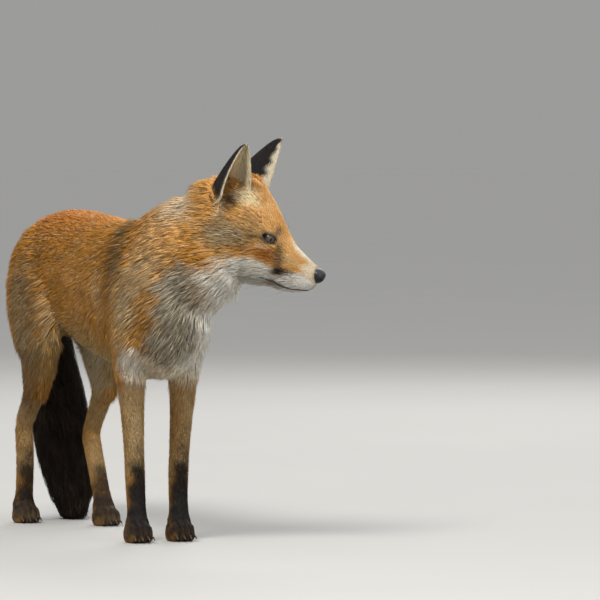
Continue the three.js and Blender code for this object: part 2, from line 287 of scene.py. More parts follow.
def ball_grid(polar: Array, sides: int) -> tuple[Array, Array]:
    """The angles of a ball's grid of points: from the pole, and round it."""
    return np.meshgrid(polar, np.linspace(0, 2 * np.pi, sides, endpoint=False), indexing="ij")


def grid_faces(rows: int, columns: int) -> Array:
    """Quads of a grid of points, row by row, with its last column joined to its first.

    Returns:
        F x 4 corners, turned so that rows x columns points outwards.
    """
    r = np.arange(rows - 1)[:, None]
    c = np.arange(columns)[None, :]
    d = (c + 1) % columns
    corners = [r * columns + c, r * columns + d, (r + 1) * columns + d, (r + 1) * columns + c]
    return np.stack([np.broadcast_to(k, (rows - 1, c.size)) for k in corners], -1).reshape(-1, 4)


def repeated(faces: Array, count: int, points: int) -> Array:
    """The faces of count copies of a shape, each with its own run of points."""
    return (np.arange(count)[:, None, None] * points + faces[None]).reshape(-1, 3)


def finish_piece(obj: bpy.types.Object, material: bpy.types.Material) -> bpy.types.Object:
    """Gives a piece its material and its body.

    Args:
        obj: the piece.
        material: what it wears.

    Returns:
        The same piece.
    """
    obj.data.materials.clear()
    obj.data.materials.append(material)
    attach(obj, BODY)
    log.info("%s: %d faces", obj.name, len(obj.data.polygons))
    return obj


# ---- Surface under the coat -----------------------------------------------------------------------


@dataclass
class Surface:
    """A triangle surface with what grows from it."""

    points: Array
    triangles: Array
    normals: Array = field(default_factory=lambda: np.zeros((0, 3)))
    flow: Array = field(default_factory=lambda: np.zeros((0, 3)))
    curve: Array = field(default_factory=lambda: np.zeros((0, 1)))
    sizes: Array | None = None
    tones: Array | None = None

    def edges(self) -> tuple[Array, Array]:
        """Both ends of every half edge."""
        t = self.triangles
        return np.concatenate([t[:, 0], t[:, 1], t[:, 2]]), np.concatenate([t[:, 1], t[:, 2], t[:, 0]])

    def find_normals(self) -> None:
        """Averages the faces' normals, weighted by area, at each point."""
        a, b, c = (self.points[self.triangles[:, k]] for k in range(3))
        face = np.cross(b - a, c - a)
        total = np.stack([
            sum(np.bincount(self.triangles[:, k], face[:, axis], len(self.points)) for k in range(3))
            for axis in range(3)
        ], 1)
        self.normals = unit(total)

    def find_curve(self) -> None:
        """How fast the surface bends away along the flow, in radians for each metre.

        It is the change of the normal along each edge over the edge's length, averaged over the
        edges at a point by the fourth power of how well they line up with the flow.
        """
        i, j = self.edges()
        along = self.points[j] - self.points[i]
        length = np.maximum((along**2).sum(1), 1e-12)
        bend = ((self.normals[j] - self.normals[i]) * along).sum(1) / length
        weight = ((along * self.flow[i]).sum(1) ** 2 / length) ** 2
        count = len(self.points)
        total = np.bincount(i, bend * weight, count) / np.maximum(np.bincount(i, weight, count), 1e-9)
        self.curve = self.smooth(total[:, None], 10, 0.5)

    def smooth(self, values: Array, rounds: int, strength: Array | float = 0.5) -> Array:
        """Moves each point's values towards the mean of its neighbours', for some rounds.

        Args:
            values: N x K values at the points.
            rounds: how many times.
            strength: the share of the way, one or N x 1.

        Returns:
            The smoothed values.
        """
        i, j = self.edges()
        count = np.bincount(i, minlength=len(self.points))[:, None]
        for _ in range(rounds):
            near = [np.bincount(i, column, len(self.points)) for column in values[j].T]
            values = values + strength * (np.stack(near, 1) / np.maximum(count, 1) - values)
        return values


def steady_smooth(surface: Surface, rounds: int) -> None:
    """Smooths the points without shrinking thin limbs: each step in is followed by a step out."""
    for _ in range(rounds):
        surface.points = surface.smooth(surface.points, 1, 0.55)
        surface.points = surface.smooth(surface.points, 1, -0.57)


def solve_flow(surface: Surface, source: Array, sink: Array, rounds: int = 500) -> Array:
    """The lie of the coat, down the slope of a potential: 1 at the nose, 0 at the feet and the tail's tip.

    The potential is harmonic over the skin, so hair runs smoothly from the nose back and down each
    limb. It is solved by conjugate gradients on the mesh's edges.

    Args:
        surface: the skin.
        source: which points are at the nose.
        sink: which points are at the limbs' ends.
        rounds: the most steps taken.

    Returns:
        N x 3 unit directions in the surface.
    """
    i, j = surface.edges()
    n = len(surface.points)
    degree = np.bincount(i, minlength=n).astype(float)
    free = ~(source | sink)
    fixed = np.where(source, 1.0, 0.0)

    def pull(x: Array) -> Array:
        """How much each free point differs from its neighbours, summed over its edges."""
        return (degree * x - np.bincount(i, x[j], n)) * free

    potential = np.where(free, 0.5, fixed)
    residual = -pull(potential)
    step = residual / degree
    energy = float(residual @ step)
    for _ in range(rounds):
        pulled = pull(step)
        rate = energy / float(step @ pulled)
        potential = potential + rate * step
        residual = residual - rate * pulled
        scaled = residual / degree
        fresh = float(residual @ scaled)
        if fresh < 1e-12:
            break
        step = scaled + (fresh / energy) * step
        energy = fresh
    along = surface.points[j] - surface.points[i]
    weight = (potential[i] - potential[j]) / np.maximum((along**2).sum(1), 1e-12)
    slope = np.stack([np.bincount(i, weight * along[:, k], n) for k in range(3)], 1)
    flow = surface.smooth(unit(slope), 12, 0.6)
    flow = flow - surface.normals * dot(flow, surface.normals)
    return unit(flow)


# ---- Coat zones -----------------------------------------------------------------------------------


@dataclass(frozen=True)
class Zone:
    """A soft ball of the body with its own coat. Its centre and radius are millimetres.

    depth is the coat's thickness, length the tufts', width half a tuft's width, and cover how many
    tufts grow on a square millimetre. One with both set stands for both sides.
    """

    centre: Vec3
    radius: float
    depth: float
    length: float
    width: float
    cover: float
    both: bool = True


BODY_ZONES = (
    Zone((-205, 0, 385), 60, 6.5, 21, 0.58, 0.4),
    Zone((-80, 0, 398), 75, 6.5, 21, 0.58, 0.4),
    Zone((60, 0, 395), 60, 8, 24, 0.6, 0.38),
    Zone((-60, 55, 320), 85, 6.5, 21, 0.58, 0.4),
    Zone((-60, 0, 228), 60, 8, 23, 0.6, 0.26),
    Zone((110, 58, 310), 60, 7.5, 23, 0.58, 0.4),
    Zone((-185, 60, 310), 60, 6.5, 19, 0.55, 0.42),
    Zone((-165, 45, 215), 36, 4.5, 14, 0.5, 0.45),
    Zone((-200, -41, 165), 28, 3.2, 9.5, 0.42, 0.55, False),
    Zone((-212, -41, 90), 38, 1.8, 6.5, 0.36, 0.7, False),
    Zone((-212, -41, 14), 34, 1.0, 4.6, 0.34, 0.8, False),
    Zone((-165, 35, 165), 28, 3.2, 9.5, 0.42, 0.55, False),
    Zone((-160, 35, 90), 38, 1.8, 6.5, 0.36, 0.7, False),
    Zone((-126, 35, 14), 34, 1.0, 4.6, 0.34, 0.8, False),
    Zone((121, 38, 215), 30, 4, 12, 0.46, 0.5),
    Zone((120, 32, 130), 45, 2.2, 7.5, 0.38, 0.65),
    Zone((124, 28, 26), 38, 0.9, 5, 0.34, 0.8),
    Zone((200, 0, 275), 60, 11, 27, 0.62, 0.38, False),
    Zone((165, 60, 350), 45, 10, 26, 0.6, 0.38, False),
    Zone((150, -45, 350), 45, 10, 26, 0.6, 0.38, False),
    Zone((225, 65, 315), 40, 9, 23, 0.58, 0.42, False),
    Zone((160, 15, 415), 45, 8, 20, 0.58, 0.4, False),
    Zone((-236, 0, 350), 28, 7, 22, 0.6, 0.4, False),
    Zone((-270, 8, 250), 50, 11, 32, 0.7, 0.42, False),
    Zone((-256, 20, 150), 50, 12, 34, 0.7, 0.42, False),
    Zone((-240, 35, 50), 40, 11, 32, 0.7, 0.42, False),
)

HEAD_ZONES = (
    Zone((15, 0, 62), 26, 3, 9, 0.4, 0.85),
    Zone((55, 0, 36), 20, 2, 6.5, 0.34, 1.05),
    Zone((80, 0, 10), 14, 1.4, 4.6, 0.28, 1.3),
    Zone((108, 0, -8), 18, 1.0, 3.4, 0.24, 1.6),
    Zone((112, 15, -38), 18, 1.3, 4.0, 0.26, 1.5),
    Zone((100, 0, -58), 18, 2.0, 6, 0.32, 1.0),
    Zone((85, 22, -25), 14, 1.6, 5, 0.28, 1.3),
    Zone((64, 27, 4), 13, 1.4, 4.4, 0.26, 1.3),
    Zone((45, 38, -28), 24, 3.5, 10, 0.36, 0.95),
    Zone((8, 50, -38), 28, 7.5, 19, 0.48, 0.62),
    Zone((45, 10, -64), 24, 5, 13, 0.42, 0.7),
    Zone((20, 46, 18), 22, 3.5, 10, 0.4, 0.85),
    Zone((-35, 0, 40), 35, 8, 18, 0.55, 0.45),
)


@dataclass
class Coat:
    """The coat's depth, tuft sizes and cover anywhere on the body, blended between the zones."""

    body: Place
    head: Place

    def measure(self, points: Array) -> Array:
        """Weighs the zones by how near they are.

        Args:
            points: N x 3 places in the model's frame.

        Returns:
            N x 4: depth, length and half width in metres, and tufts for each square millimetre.
        """
        total = np.zeros((len(points), 4))
        weight = np.full((len(points), 1), 1e-9)
        for zones, place in ((BODY_ZONES, self.body), (HEAD_ZONES, self.head)):
            for zone, away in offsets(zones, place, points):
                distance = np.linalg.norm(away, axis=1, keepdims=True)
                pull = np.exp(-((distance / zone.radius) ** 2)) + 1e-6 * (zone.radius / distance) ** 2
                values = [zone.depth * MM, zone.length * MM, zone.width * MM, zone.cover]
                total += pull * np.array(values)
                weight += pull
        return total / weight


# ---- Markings -------------------------------------------------------------------------------------


class Fur(Enum):
    """Linear colours of the hair."""

    RED = (0.60, 0.225, 0.04)
    ORANGE = (0.53, 0.24, 0.034)
    GOLD = (0.66, 0.35, 0.10)
    HONEY = (0.82, 0.49, 0.21)
    TAN = (0.62, 0.40, 0.17)
    SAND = (0.44, 0.29, 0.10)
    RUST = (0.37, 0.13, 0.018)
    PALE = (0.64, 0.5, 0.29)
    CREAM = (0.82, 0.71, 0.52)
    BUFF = (0.94, 0.76, 0.46)
    WHITE = (0.88, 0.85, 0.77)
    SLATE = (0.25, 0.22, 0.16)
    GRIZZLE = (0.27, 0.185, 0.088)
    BROWN = (0.18, 0.105, 0.037)
    DARK = (0.03, 0.021, 0.014)
    BLACK = (0.012, 0.009, 0.008)


@dataclass(frozen=True)
class Patch:
    """A soft ellipsoid of one colour, in millimetres. One with both set stands for both sides.

    soft is the part of the radius over which it fades, and strength how far it covers what is there.
    """

    fur: Fur
    centre: Vec3
    radii: Vec3
    strength: float = 1.0
    soft: float = 0.5
    both: bool = True


BODY_PATCHES = (
    Patch(Fur.SAND, (-40, 0, 235), (210, 80, 50), 0.85, 0.7),
    Patch(Fur.PALE, (-40, 0, 205), (160, 34, 36), 0.8, 0.7),
    Patch(Fur.GOLD, (20, 62, 320), (60, 30, 44), 0.45, 0.9),
    Patch(Fur.RED, (-110, 0, 415), (190, 72, 52), 0.95, 0.6),
    Patch(Fur.GOLD, (-10, 0, 412), (70, 50, 26), 0.45, 0.9),
    Patch(Fur.GRIZZLE, (-155, 66, 290), (44, 40, 62), 0.8, 0.6),
    Patch(Fur.GRIZZLE, (-150, 60, 225), (50, 34, 50), 0.7, 0.7),
    Patch(Fur.RUST, (-235, 0, 350), (34, 60, 70), 0.5, 0.8),
    Patch(Fur.BROWN, (-175, 50, 163), (38, 30, 40), 0.85, 0.8),
    Patch(Fur.BROWN, (-133, 54, 354), (28, 26, 26), 0.35, 0.9),
    Patch(Fur.PALE, (-112, 52, 296), (10, 18, 20), 0.35, 0.9),
    Patch(Fur.PALE, (-100, 46, 262), (18, 22, 34), 0.4, 0.9),
    Patch(Fur.PALE, (-128, 20, 215), (40, 24, 60), 0.85, 0.8, False),
    Patch(Fur.BROWN, (112, 30, 388), (25, 40, 26), 0.95, 0.8),
    Patch(Fur.PALE, (86, 56, 314), (17, 20, 30), 0.5, 0.9),
    Patch(Fur.BROWN, (122, 52, 350), (18, 24, 40), 0.75, 0.8),
    Patch(Fur.BROWN, (137, 50, 356), (17, 24, 30), 0.9, 0.8),
    Patch(Fur.BROWN, (112, 58, 308), (22, 24, 34), 0.3, 0.8),
    Patch(Fur.TAN, (150, 56, 290), (36, 28, 56), 0.75, 0.7),
    Patch(Fur.PALE, (158, 58, 300), (20, 20, 34), 0.4, 0.9),
    Patch(Fur.RUST, (138, 20, 402), (24, 40, 18), 0.5, 0.8),
    Patch(Fur.GOLD, (208, 0, 400), (46, 60, 46), 0.95, 0.6, False),
    Patch(Fur.CREAM, (206, -4, 420), (38, 34, 26), 0.7, 0.8, False),
    Patch(Fur.HONEY, (194, -30, 372), (40, 36, 40), 0.8, 0.8, False),
    Patch(Fur.GOLD, (190, -30, 352), (34, 34, 40), 0.85, 0.7, False),
    Patch(Fur.GOLD, (176, 60, 370), (28, 30, 44), 0.8, 0.8, False),
    Patch(Fur.PALE, (188, -34, 342), (32, 30, 34), 0.45, 0.8, False),
    Patch(Fur.PALE, (172, 54, 318), (24, 26, 34), 0.45, 0.8),
    Patch(Fur.GRIZZLE, (168, 54, 290), (26, 30, 44), 0.25, 0.8),
    Patch(Fur.SLATE, (218, 2, 300), (36, 36, 54), 1.0, 0.4, False),
    Patch(Fur.SLATE, (200, -8, 254), (40, 36, 42), 0.95, 0.5, False),
    Patch(Fur.SLATE, (190, 60, 300), (36, 26, 56), 0.95, 0.5, False),
    Patch(Fur.WHITE, (150, 38, 222), (26, 22, 34), 0.9, 0.7),
    Patch(Fur.WHITE, (150, 48, 248), (24, 26, 34), 0.9, 0.6, False),
    Patch(Fur.WHITE, (236, 42, 318), (30, 26, 54), 1.0, 0.5, False),
    Patch(Fur.WHITE, (222, 44, 268), (30, 24, 50), 1.0, 0.5, False),
    Patch(Fur.WHITE, (172, 30, 226), (54, 40, 34), 1.0, 0.6, False),
    Patch(Fur.WHITE, (176, 60, 250), (58, 40, 62), 1.0, 0.4, False),
    Patch(Fur.WHITE, (198, 34, 282), (32, 26, 40), 1.0, 0.5, False),
    Patch(Fur.SLATE, (212, 2, 300), (30, 24, 46), 0.6, 0.7, False),
    Patch(Fur.CREAM, (150, 0, 212), (44, 44, 26), 0.9, 0.6),
    Patch(Fur.TAN, (130, 34, 140), (34, 34, 74), 0.95, 0.4),
    Patch(Fur.ORANGE, (108, 40, 110), (16, 26, 90), 0.7, 0.8),
    Patch(Fur.ORANGE, (124, 16, 150), (24, 14, 60), 0.6, 0.8),
    Patch(Fur.TAN, (-190, -41, 105), (60, 34, 60), 0.8, 0.5, False),
    Patch(Fur.TAN, (-150, 35, 110), (60, 34, 66), 0.8, 0.5, False),
    Patch(Fur.GOLD, (-226, -41, 115), (20, 30, 56), 0.85, 0.7, False),
    Patch(Fur.GOLD, (-180, 35, 115), (20, 30, 56), 0.85, 0.7, False),
    Patch(Fur.BROWN, (122, 31, 112), (32, 22, 64), 0.55, 0.8, False),
    Patch(Fur.PALE, (148, -31, 130), (17, 22, 60), 0.55, 0.8, False),
    Patch(Fur.BLACK, (137, 27, 66), (17, 24, 52), 0.96, 0.5),
    Patch(Fur.BLACK, (136, 28, 22), (36, 28, 32), 0.95, 0.5),
    Patch(Fur.BLACK, (138, 28, 46), (24, 24, 30), 0.9, 0.6),
    Patch(Fur.BROWN, (150, 28, 2), (20, 26, 7), 0.4, 0.9),
    Patch(Fur.BLACK, (-198, -41, 58), (18, 22, 44), 0.9, 0.6, False),
    Patch(Fur.BLACK, (-132, 35, 58), (20, 22, 42), 0.85, 0.6, False),
    Patch(Fur.DARK, (-202, -41, 20), (40, 28, 30), 0.95, 0.5, False),
    Patch(Fur.DARK, (-118, 35, 20), (40, 28, 30), 0.95, 0.5, False),
    Patch(Fur.GRIZZLE, (-190, -41, 5), (22, 24, 10), 0.4, 0.8, False),
    Patch(Fur.GRIZZLE, (-104, 35, 5), (22, 24, 10), 0.4, 0.8, False),
)

HEAD_PATCHES = (
    Patch(Fur.GOLD, (40, 0, 20), (95, 80, 80), 1.0, 0.3),
    Patch(Fur.HONEY, (58, 0, 26), (70, 34, 40), 0.6, 0.7),
    Patch(Fur.RED, (30, 0, 62), (60, 30, 26), 0.35, 0.9),
    Patch(Fur.ORANGE, (72, 0, 20), (36, 26, 18), 0.6, 0.8),
    Patch(Fur.GRIZZLE, (20, 48, -4), (36, 24, 21), 0.95, 0.6),
    Patch(Fur.GRIZZLE, (44, 38, 8), (20, 20, 14), 0.6, 0.9),
    Patch(Fur.RUST, (67, 29, -15), (15, 13, 10.5), 1.0, 0.6),
    Patch(Fur.RUST, (44, 42, -17), (18, 14, 7), 0.5, 0.9),
    Patch(Fur.GOLD, (24, 50, -26), (20, 14, 9), 0.7, 0.8),
    Patch(Fur.TAN, (94, 18, -17), (16, 10, 10), 0.8, 0.7),
    Patch(Fur.CREAM, (114, 0, -6), (40, 11, 13), 1.0, 0.6),
    Patch(Fur.WHITE, (50, 39, -36), (34, 22, 13), 1.0, 0.45),
    Patch(Fur.WHITE, (112, 14, -42), (32, 18, 14), 1.0, 0.35),
    Patch(Fur.WHITE, (75, 24, -45), (36, 18, 10), 1.0, 0.45),
    Patch(Fur.WHITE, (36, 42, -58), (50, 26, 22), 0.95, 0.6),
    Patch(Fur.WHITE, (60, 0, -73), (90, 44, 30), 1.0, 0.3),
    Patch(Fur.CREAM, (120, 9, -22), (13, 10, 11), 0.9, 0.6),
    Patch(Fur.DARK, (79, 21, -7), (4, 9, 10), 0.8, 0.8),
    Patch(Fur.DARK, (84, 20, -19), (4, 8, 9), 0.7, 0.8),
    Patch(Fur.BROWN, (84, 20, -23), (6, 8, 9), 0.8, 0.8),
    Patch(Fur.DARK, (72, 16, 12), (4, 8, 8), 0.75, 0.8),
    Patch(Fur.RUST, (73, 25, -20), (10, 10, 9), 0.75, 0.8),
    Patch(Fur.BROWN, (81, 21, -12), (6, 10, 14), 0.5, 0.8),
    Patch(Fur.WHITE, (73, 23, -34), (9, 9, 6), 0.9, 0.7),
    Patch(Fur.BLACK, (87, 19, -33.5), (9.5, 10, 7.5), 1.0, 0.6),
    Patch(Fur.DARK, (95, 18, -30.5), (9, 8, 3.2), 0.75, 0.8),
    # Painted shadow: these four black patches widen the dark band along the shut mouth, under the upper lip.
    Patch(Fur.BLACK, (58, 28, -46.6), (9, 10, 3.6), 0.85, 0.6),
    Patch(Fur.BLACK, (68, 25, -46.6), (10, 10, 4.2), 0.95, 0.5),
    Patch(Fur.BLACK, (79, 21, -47.4), (10, 10, 4.4), 0.95, 0.5),
    Patch(Fur.BLACK, (89, 18, -49.6), (9, 10, 3.6), 0.85, 0.6),
    Patch(Fur.DARK, (65, 27, 2), (14, 10, 8), 0.85, 0.5),
    Patch(Fur.DARK, (50, 37, 1), (10, 9, 3), 0.7, 0.9),
    Patch(Fur.PALE, (61, 29, -9), (10, 9, 3), 0.6, 0.9),
    Patch(Fur.BUFF, (30, 30, 43), (18, 15, 14), 0.9, 0.7),
    Patch(Fur.DARK, (14, 41, 36), (12, 12, 13), 0.85, 0.7),
    Patch(Fur.PALE, (3, 46, 26), (7, 8, 16), 0.7, 0.8),
)


def ripple(points: Array, scale: float, seed: float) -> Array:
    """A smooth wandering value near -1 to 1: two products of sines of sines, one coarse and one fine.

    Args:
        points: N x 3 places.
        scale: metres to one radian.
        seed: sets the pattern.

    Returns:
        One value for each place.
    """
    q = points / scale + seed
    a = np.sin(q[:, 0] * 1.7 + 1.3 * np.sin(q[:, 1] * 1.1 + seed)) * np.sin(q[:, 2] * 1.9 + q[:, 1])
    b = np.sin(q[:, 1] * 3.1 + 1.7 * np.sin(q[:, 2] * 2.3)) * np.sin(q[:, 0] * 2.7 - q[:, 2] * 1.3)
    return 0.65 * a + 0.35 * b


TAIL_LINE = ((-226, 0, 358), (-250, 1, 340), (-268, 4, 300), (-272, 9, 250), (-266, 14, 200),
             (-256, 21, 150), (-247, 28, 100), (-242, 33, 55), (-240, 36, 10))


def in_tail(ground: Array) -> Array:
    """How far places, in the body frame, belong to the tail: 1 within about 35 mm of its middle line.

    Args:
        ground: N x 3 places in metres.

    Returns:
        One share for each place.
    """
    line = np.array(TAIL_LINE) * MM
    y = np.interp(ground[:, 2], line[::-1, 2], line[::-1, 1])
    x = np.interp(ground[:, 2], line[::-1, 2], line[::-1, 0])
    away = np.hypot(ground[:, 0] - x, ground[:, 1] - y)
    return (1 - smoothstep(0.037, 0.046, away)) * (1 - smoothstep(0.33, 0.35, ground[:, 2]))


@dataclass
class Markings:
    """The colours of the coat, the same for the skin and what grows on it."""

    body: Place
    head: Place
    ground: Fur = Fur.ORANGE

    def tone(self, points: Array) -> Array:
        """Lays the patches over one another, each edge broken up by a ripple.

        Args:
            points: N x 3 places in the model's frame.

        Returns:
            N x 3 linear colours.
        """
        colour = np.tile(np.array(self.ground.value), (len(points), 1))
        rough = 0.22 * ripple(points, 9 * MM, 0.0) + 0.1 * ripple(points, 3.1 * MM, 4.0)
        from_head = self.head.into(points)
        in_head = smoothstep(-0.035, 0.0, from_head[:, 0] + 0.3 * from_head[:, 2])
        in_head *= smoothstep(-0.12, -0.08, from_head[:, 2])
        for patches, place, share in (
            (BODY_PATCHES, self.body, 1.0 - in_head),
            (HEAD_PATCHES, self.head, in_head),
        ):
            for patch, away in offsets(patches, place, points):
                reach = np.linalg.norm(away / np.array(patch.radii), axis=1)
                cover = 1.0 - smoothstep(1.0 - patch.soft, 1.0 + 0.5 * patch.soft, reach + rough)
                colour = mixed(colour, patch.fur.value, (cover * patch.strength * share)[:, None])
        brush = in_tail(self.body.into(points))[:, None]
        streak = 0.5 + 0.5 * ripple(points * [1, 1, 0.35], 6 * MM, 2.0)[:, None]
        dark = np.array(Fur.DARK.value) * (0.35 + 0.95 * streak)
        return mixed(colour, dark, brush)


# ---- Skin -----------------------------------------------------------------------------------------


@dataclass
class SkinMaker:
    """Makes the one skin that lies inside the solids of flesh by the coat's depth.

    The mesh is twice as fine on the face, ahead of fine_face in the head frame, and below fine_paws,
    but not on the tail, which is behind tail_end. The lie of the coat starts ahead of flow_start on
    the head, and ends at the soles and the tail's tip.
    """

    body: Place
    head: Place
    coat: Coat
    eyes: tuple[Eye, Eye]
    voxel: float = 3.05 * MM
    swell: float = 0.45 * MM
    inset: float = 0.65
    keep_rounds: int = 14
    melt_rounds: int = 10
    fine_face: float = 0.038
    fine_paws: float = 0.03
    tail_end: float = -0.225
    flow_start: float = 0.118
    soles: float = 0.008
    tail_tip: float = 0.03

    def gather(self, nodes: dict[str, bpy.types.Object]) -> bpy.types.Object:
        """Copies the flesh and the eyes into one mesh, each swollen a little so that the cuts close.

        Args:
            nodes: the frame's nodes by name.

        Returns:
            One object of loose closed shells.
        """
        points, faces, start = [], [], 0
        for name in (*FLESH_NODES, *EYE_NODES, "nose"):
            loose, corners = read_mesh(nodes[name].data)
            merged, place = np.unique(np.round(loose / (0.01 * MM)), axis=0, return_inverse=True)
            part = Surface(merged * 0.01 * MM, place.ravel()[corners])
            part.find_normals()
            points.append(part.points + part.normals * self.swell)
            faces.append(part.triangles + start)
            start += len(part.points)
        return write_mesh("flesh", np.concatenate(points), np.concatenate(faces))

    def remesh(self, source: bpy.types.Object) -> Surface:
        """Fuses the copy at one voxel size and takes it as triangles.

        Args:
            source: the copy, which is deleted.

        Returns:
            The fused triangles, finer on the face and the paws.
        """
        modifier = source.modifiers.new("fuse", "REMESH")
        modifier.mode = "VOXEL"
        modifier.voxel_size = self.voxel
        graph = bpy.context.evaluated_depsgraph_get()
        mesh = bpy.data.meshes.new_from_object(source.evaluated_get(graph))
        with edited(mesh) as made:
            places = np.array([v.co[:] for v in made.verts])
            paws = (places[:, 2] < self.fine_paws) & (self.body.into(places)[:, 0] > self.tail_end)
            fine = paws | (self.head.into(places)[:, 0] > self.fine_face)
            edges = [e for e in made.edges if fine[e.verts[0].index] and fine[e.verts[1].index]]
            bmesh.ops.subdivide_edges(made, edges=edges, cuts=1, use_grid_fill=True)
            bmesh.ops.triangulate(made, faces=made.faces)
        surface = Surface(*read_mesh(mesh))
        bpy.data.objects.remove(source)
        bpy.data.meshes.remove(mesh)
        return surface

    def build(self, nodes: dict[str, bpy.types.Object]) -> Surface:
        """Fuses, smooths and draws in the flesh.

        Args:
            nodes: the frame's nodes by name.

        Returns:
            The skin, with its normals and the lie of the coat.
        """
        surface = self.remesh(self.gather(nodes))
        steady_smooth(surface, self.keep_rounds)
        self.melt(surface)
        surface.find_normals()
        depth = surface.smooth(self.coat.measure(surface.points)[:, :1], 6)
        surface.points = surface.points - surface.normals * depth * self.inset
        steady_smooth(surface, 3)
        self.carve(surface)
        surface.find_normals()
        ground = self.body.into(surface.points)
        nose = self.head.into(surface.points)[:, 0] > self.flow_start
        tail_tip = (ground[:, 2] < self.tail_tip) & (ground[:, 0] < -0.2)
        surface.flow = solve_flow(surface, nose, tail_tip | (ground[:, 2] < self.soles))
        surface.find_curve()
        log.info("skin surface: %d points", len(surface.points))
        return surface

    def melt(self, surface: Surface) -> None:
        """Smooths away the CAD's edges: more where the coat is deep, and on the feet, but not on the tail."""
        depth = self.coat.measure(surface.points)[:, :1]
        deep = np.clip((depth - 3 * MM) / (12 * MM), 0.0, 0.5)
        surface.points = surface.smooth(surface.points, self.melt_rounds, deep)
        low = 1 - smoothstep(0.042, 0.056, surface.points[:, 2:])
        foot = (in_tail(self.body.into(surface.points)) < 0.5)[:, None]
        surface.points = surface.smooth(surface.points, self.melt_rounds, 0.35 * low * foot)

    def carve(self, surface: Surface) -> None:
        """Cuts the toes apart, fills the pasterns, and makes room for the eyes and the nose pad."""
        surface.find_normals()
        ground = self.body.into(surface.points)
        cleft = sum(paw.toes(ground) - paw.pastern(ground) for paw in PAWS)
        surface.points = surface.points - surface.normals * cleft[:, None]
        for eye in self.eyes:
            surface.points = eye.socket(surface.points)
        surface.points = NosePad().tuck(self.head, surface.points)


# ---- Tufts ----------------------------------------------------------------------------------------


@dataclass
class Tufts:
    """Where tufts grow and how each one lies. Every array has one row for each tuft."""

    root: Array
    normal: Array
    flow: Array
    length: Array
    width: Array
    rise: Array
    curve: Array
    tone: Array
    tip: Array
    uv: Array

    def pick(self, chosen: Array) -> Tufts:
        """The chosen tufts only."""
        return Tufts(*(getattr(self, column.name)[chosen] for column in fields(self)))


@dataclass(frozen=True)
class TuftShape:
    """How a tuft is built: rings of three corners along a bent line, ending in a point."""

    rings: tuple[float, ...] = (0.0, 0.45)
    girth: tuple[float, ...] = (1.0, 0.8)
    ridge: float = 0.7
    patch: float = 0.003
    floor: float = 1.5 * MM
    bow: float = 1.0
    # Each tuft runs from a darker root to a lighter tip: partly the hair's own banding, partly painted shade
    # deep in the coat.
    root_shade: float = 0.58
    tip_shade: float = 1.12

    def mesh(self, name: str, tufts: Tufts, bend: Array) -> bpy.types.Object:
        """Builds every tuft as a closed three-sided spike.

        The middle line starts at the root and runs along flow, rising by rise of its length and
        levelling out as a parabola: height = rise * length * t * (1 + bow (1 - t)). It follows the
        surface's own bend down by half of curve times the square of the way gone, and bend moves it
        sideways by bend * t * t. What would go below the floor is laid on it: z becomes floor times
        0.4 + 0.6 exp(z / floor - 1).

        Args:
            name: the piece's name.
            tufts: where they grow.
            bend: one sideways vector for each tuft, for its tip.

        Returns:
            The piece.
        """
        side = unit(np.cross(tufts.normal, tufts.flow))
        count = len(tufts.root)
        stations = list(self.rings) + [1.0]
        length = tufts.length[:, None]
        rings, tones, maps = [], [], []
        for t, girth in zip(stations, list(self.girth) + [0.0]):
            rise = tufts.rise[:, None] * t * (1 + self.bow * (1 - t))
            sag = 0.5 * tufts.curve[:, None] * (length * t) ** 2
            middle = tufts.root + length * (tufts.flow * t + tufts.normal * rise)
            middle = middle - tufts.normal * sag + bend * t * t
            # Darker towards the root: partly banding, partly painted shade deep in the coat.
            shade = self.root_shade + (self.tip_shade - self.root_shade) * t
            half = tufts.width[:, None] * girth
            corners = ((-1.0, 0.0), (1.0, 0.0), (0.0, self.ridge)) if t < 1.0 else ((0.0, 0.0),)
            for across, up in corners:
                rings.append(middle + side * across * half + tufts.normal * up * half)
                tones.append(tufts.tone * shade * (1 - t) + tufts.tip * t)
                maps.append(tufts.uv + self.patch * np.array([across * 0.5 * (1 - t), t - 0.5]))
        per = len(rings)
        points = np.stack(rings, 1).reshape(-1, 3)
        colours = np.stack(tones, 1).reshape(-1, 3)
        uv = np.stack(maps, 1).reshape(-1, 2)
        faces = [(0, 1, 2)]
        for level in range(len(self.rings) - 1):
            base = 3 * level
            for k in range(3):
                a, b = base + k, base + (k + 1) % 3
                faces += [(a, a + 3, b), (b, a + 3, b + 3)]
        last = 3 * (len(self.rings) - 1)
        faces += [(last + k, per - 1, last + (k + 1) % 3) for k in range(3)]
        low = points[:, 2] < self.floor
        points[low, 2] = self.floor * (0.4 + 0.6 * np.exp(points[low, 2] / self.floor - 1))
        outwards = np.array(faces)[:, ::-1]
        whole = self.whole(points.reshape(count, per, 3), outwards)
        points, colours, uv = (rows.reshape(count, per, -1)[whole].reshape(len(whole) * per, -1)
                               for rows in (points, colours, uv))
        return write_mesh(name, points, repeated(outwards, len(whole), per), uv, np.clip(colours, 0.0, 0.9))

    @staticmethod
    def whole(corners: Array, faces: Array) -> Array:
        """Finds the tufts that aren't pressed flat against the floor.

        Args:
            corners: each tuft's points.
            faces: the faces of one tuft.

        Returns:
            The numbers of the tufts whose faces all have some area.
        """
        a, b, c = (corners[:, faces[:, k]] for k in range(3))
        areas = np.linalg.norm(np.cross(b - a, c - a), axis=2)
        return np.flatnonzero(areas.min(1) > 1e-12)


LONG_TUFT = TuftShape()
SHORT_TUFT = TuftShape(rings=(0.0,), girth=(1.0,))


# ---- Where the coat grows -------------------------------------------------------------------------


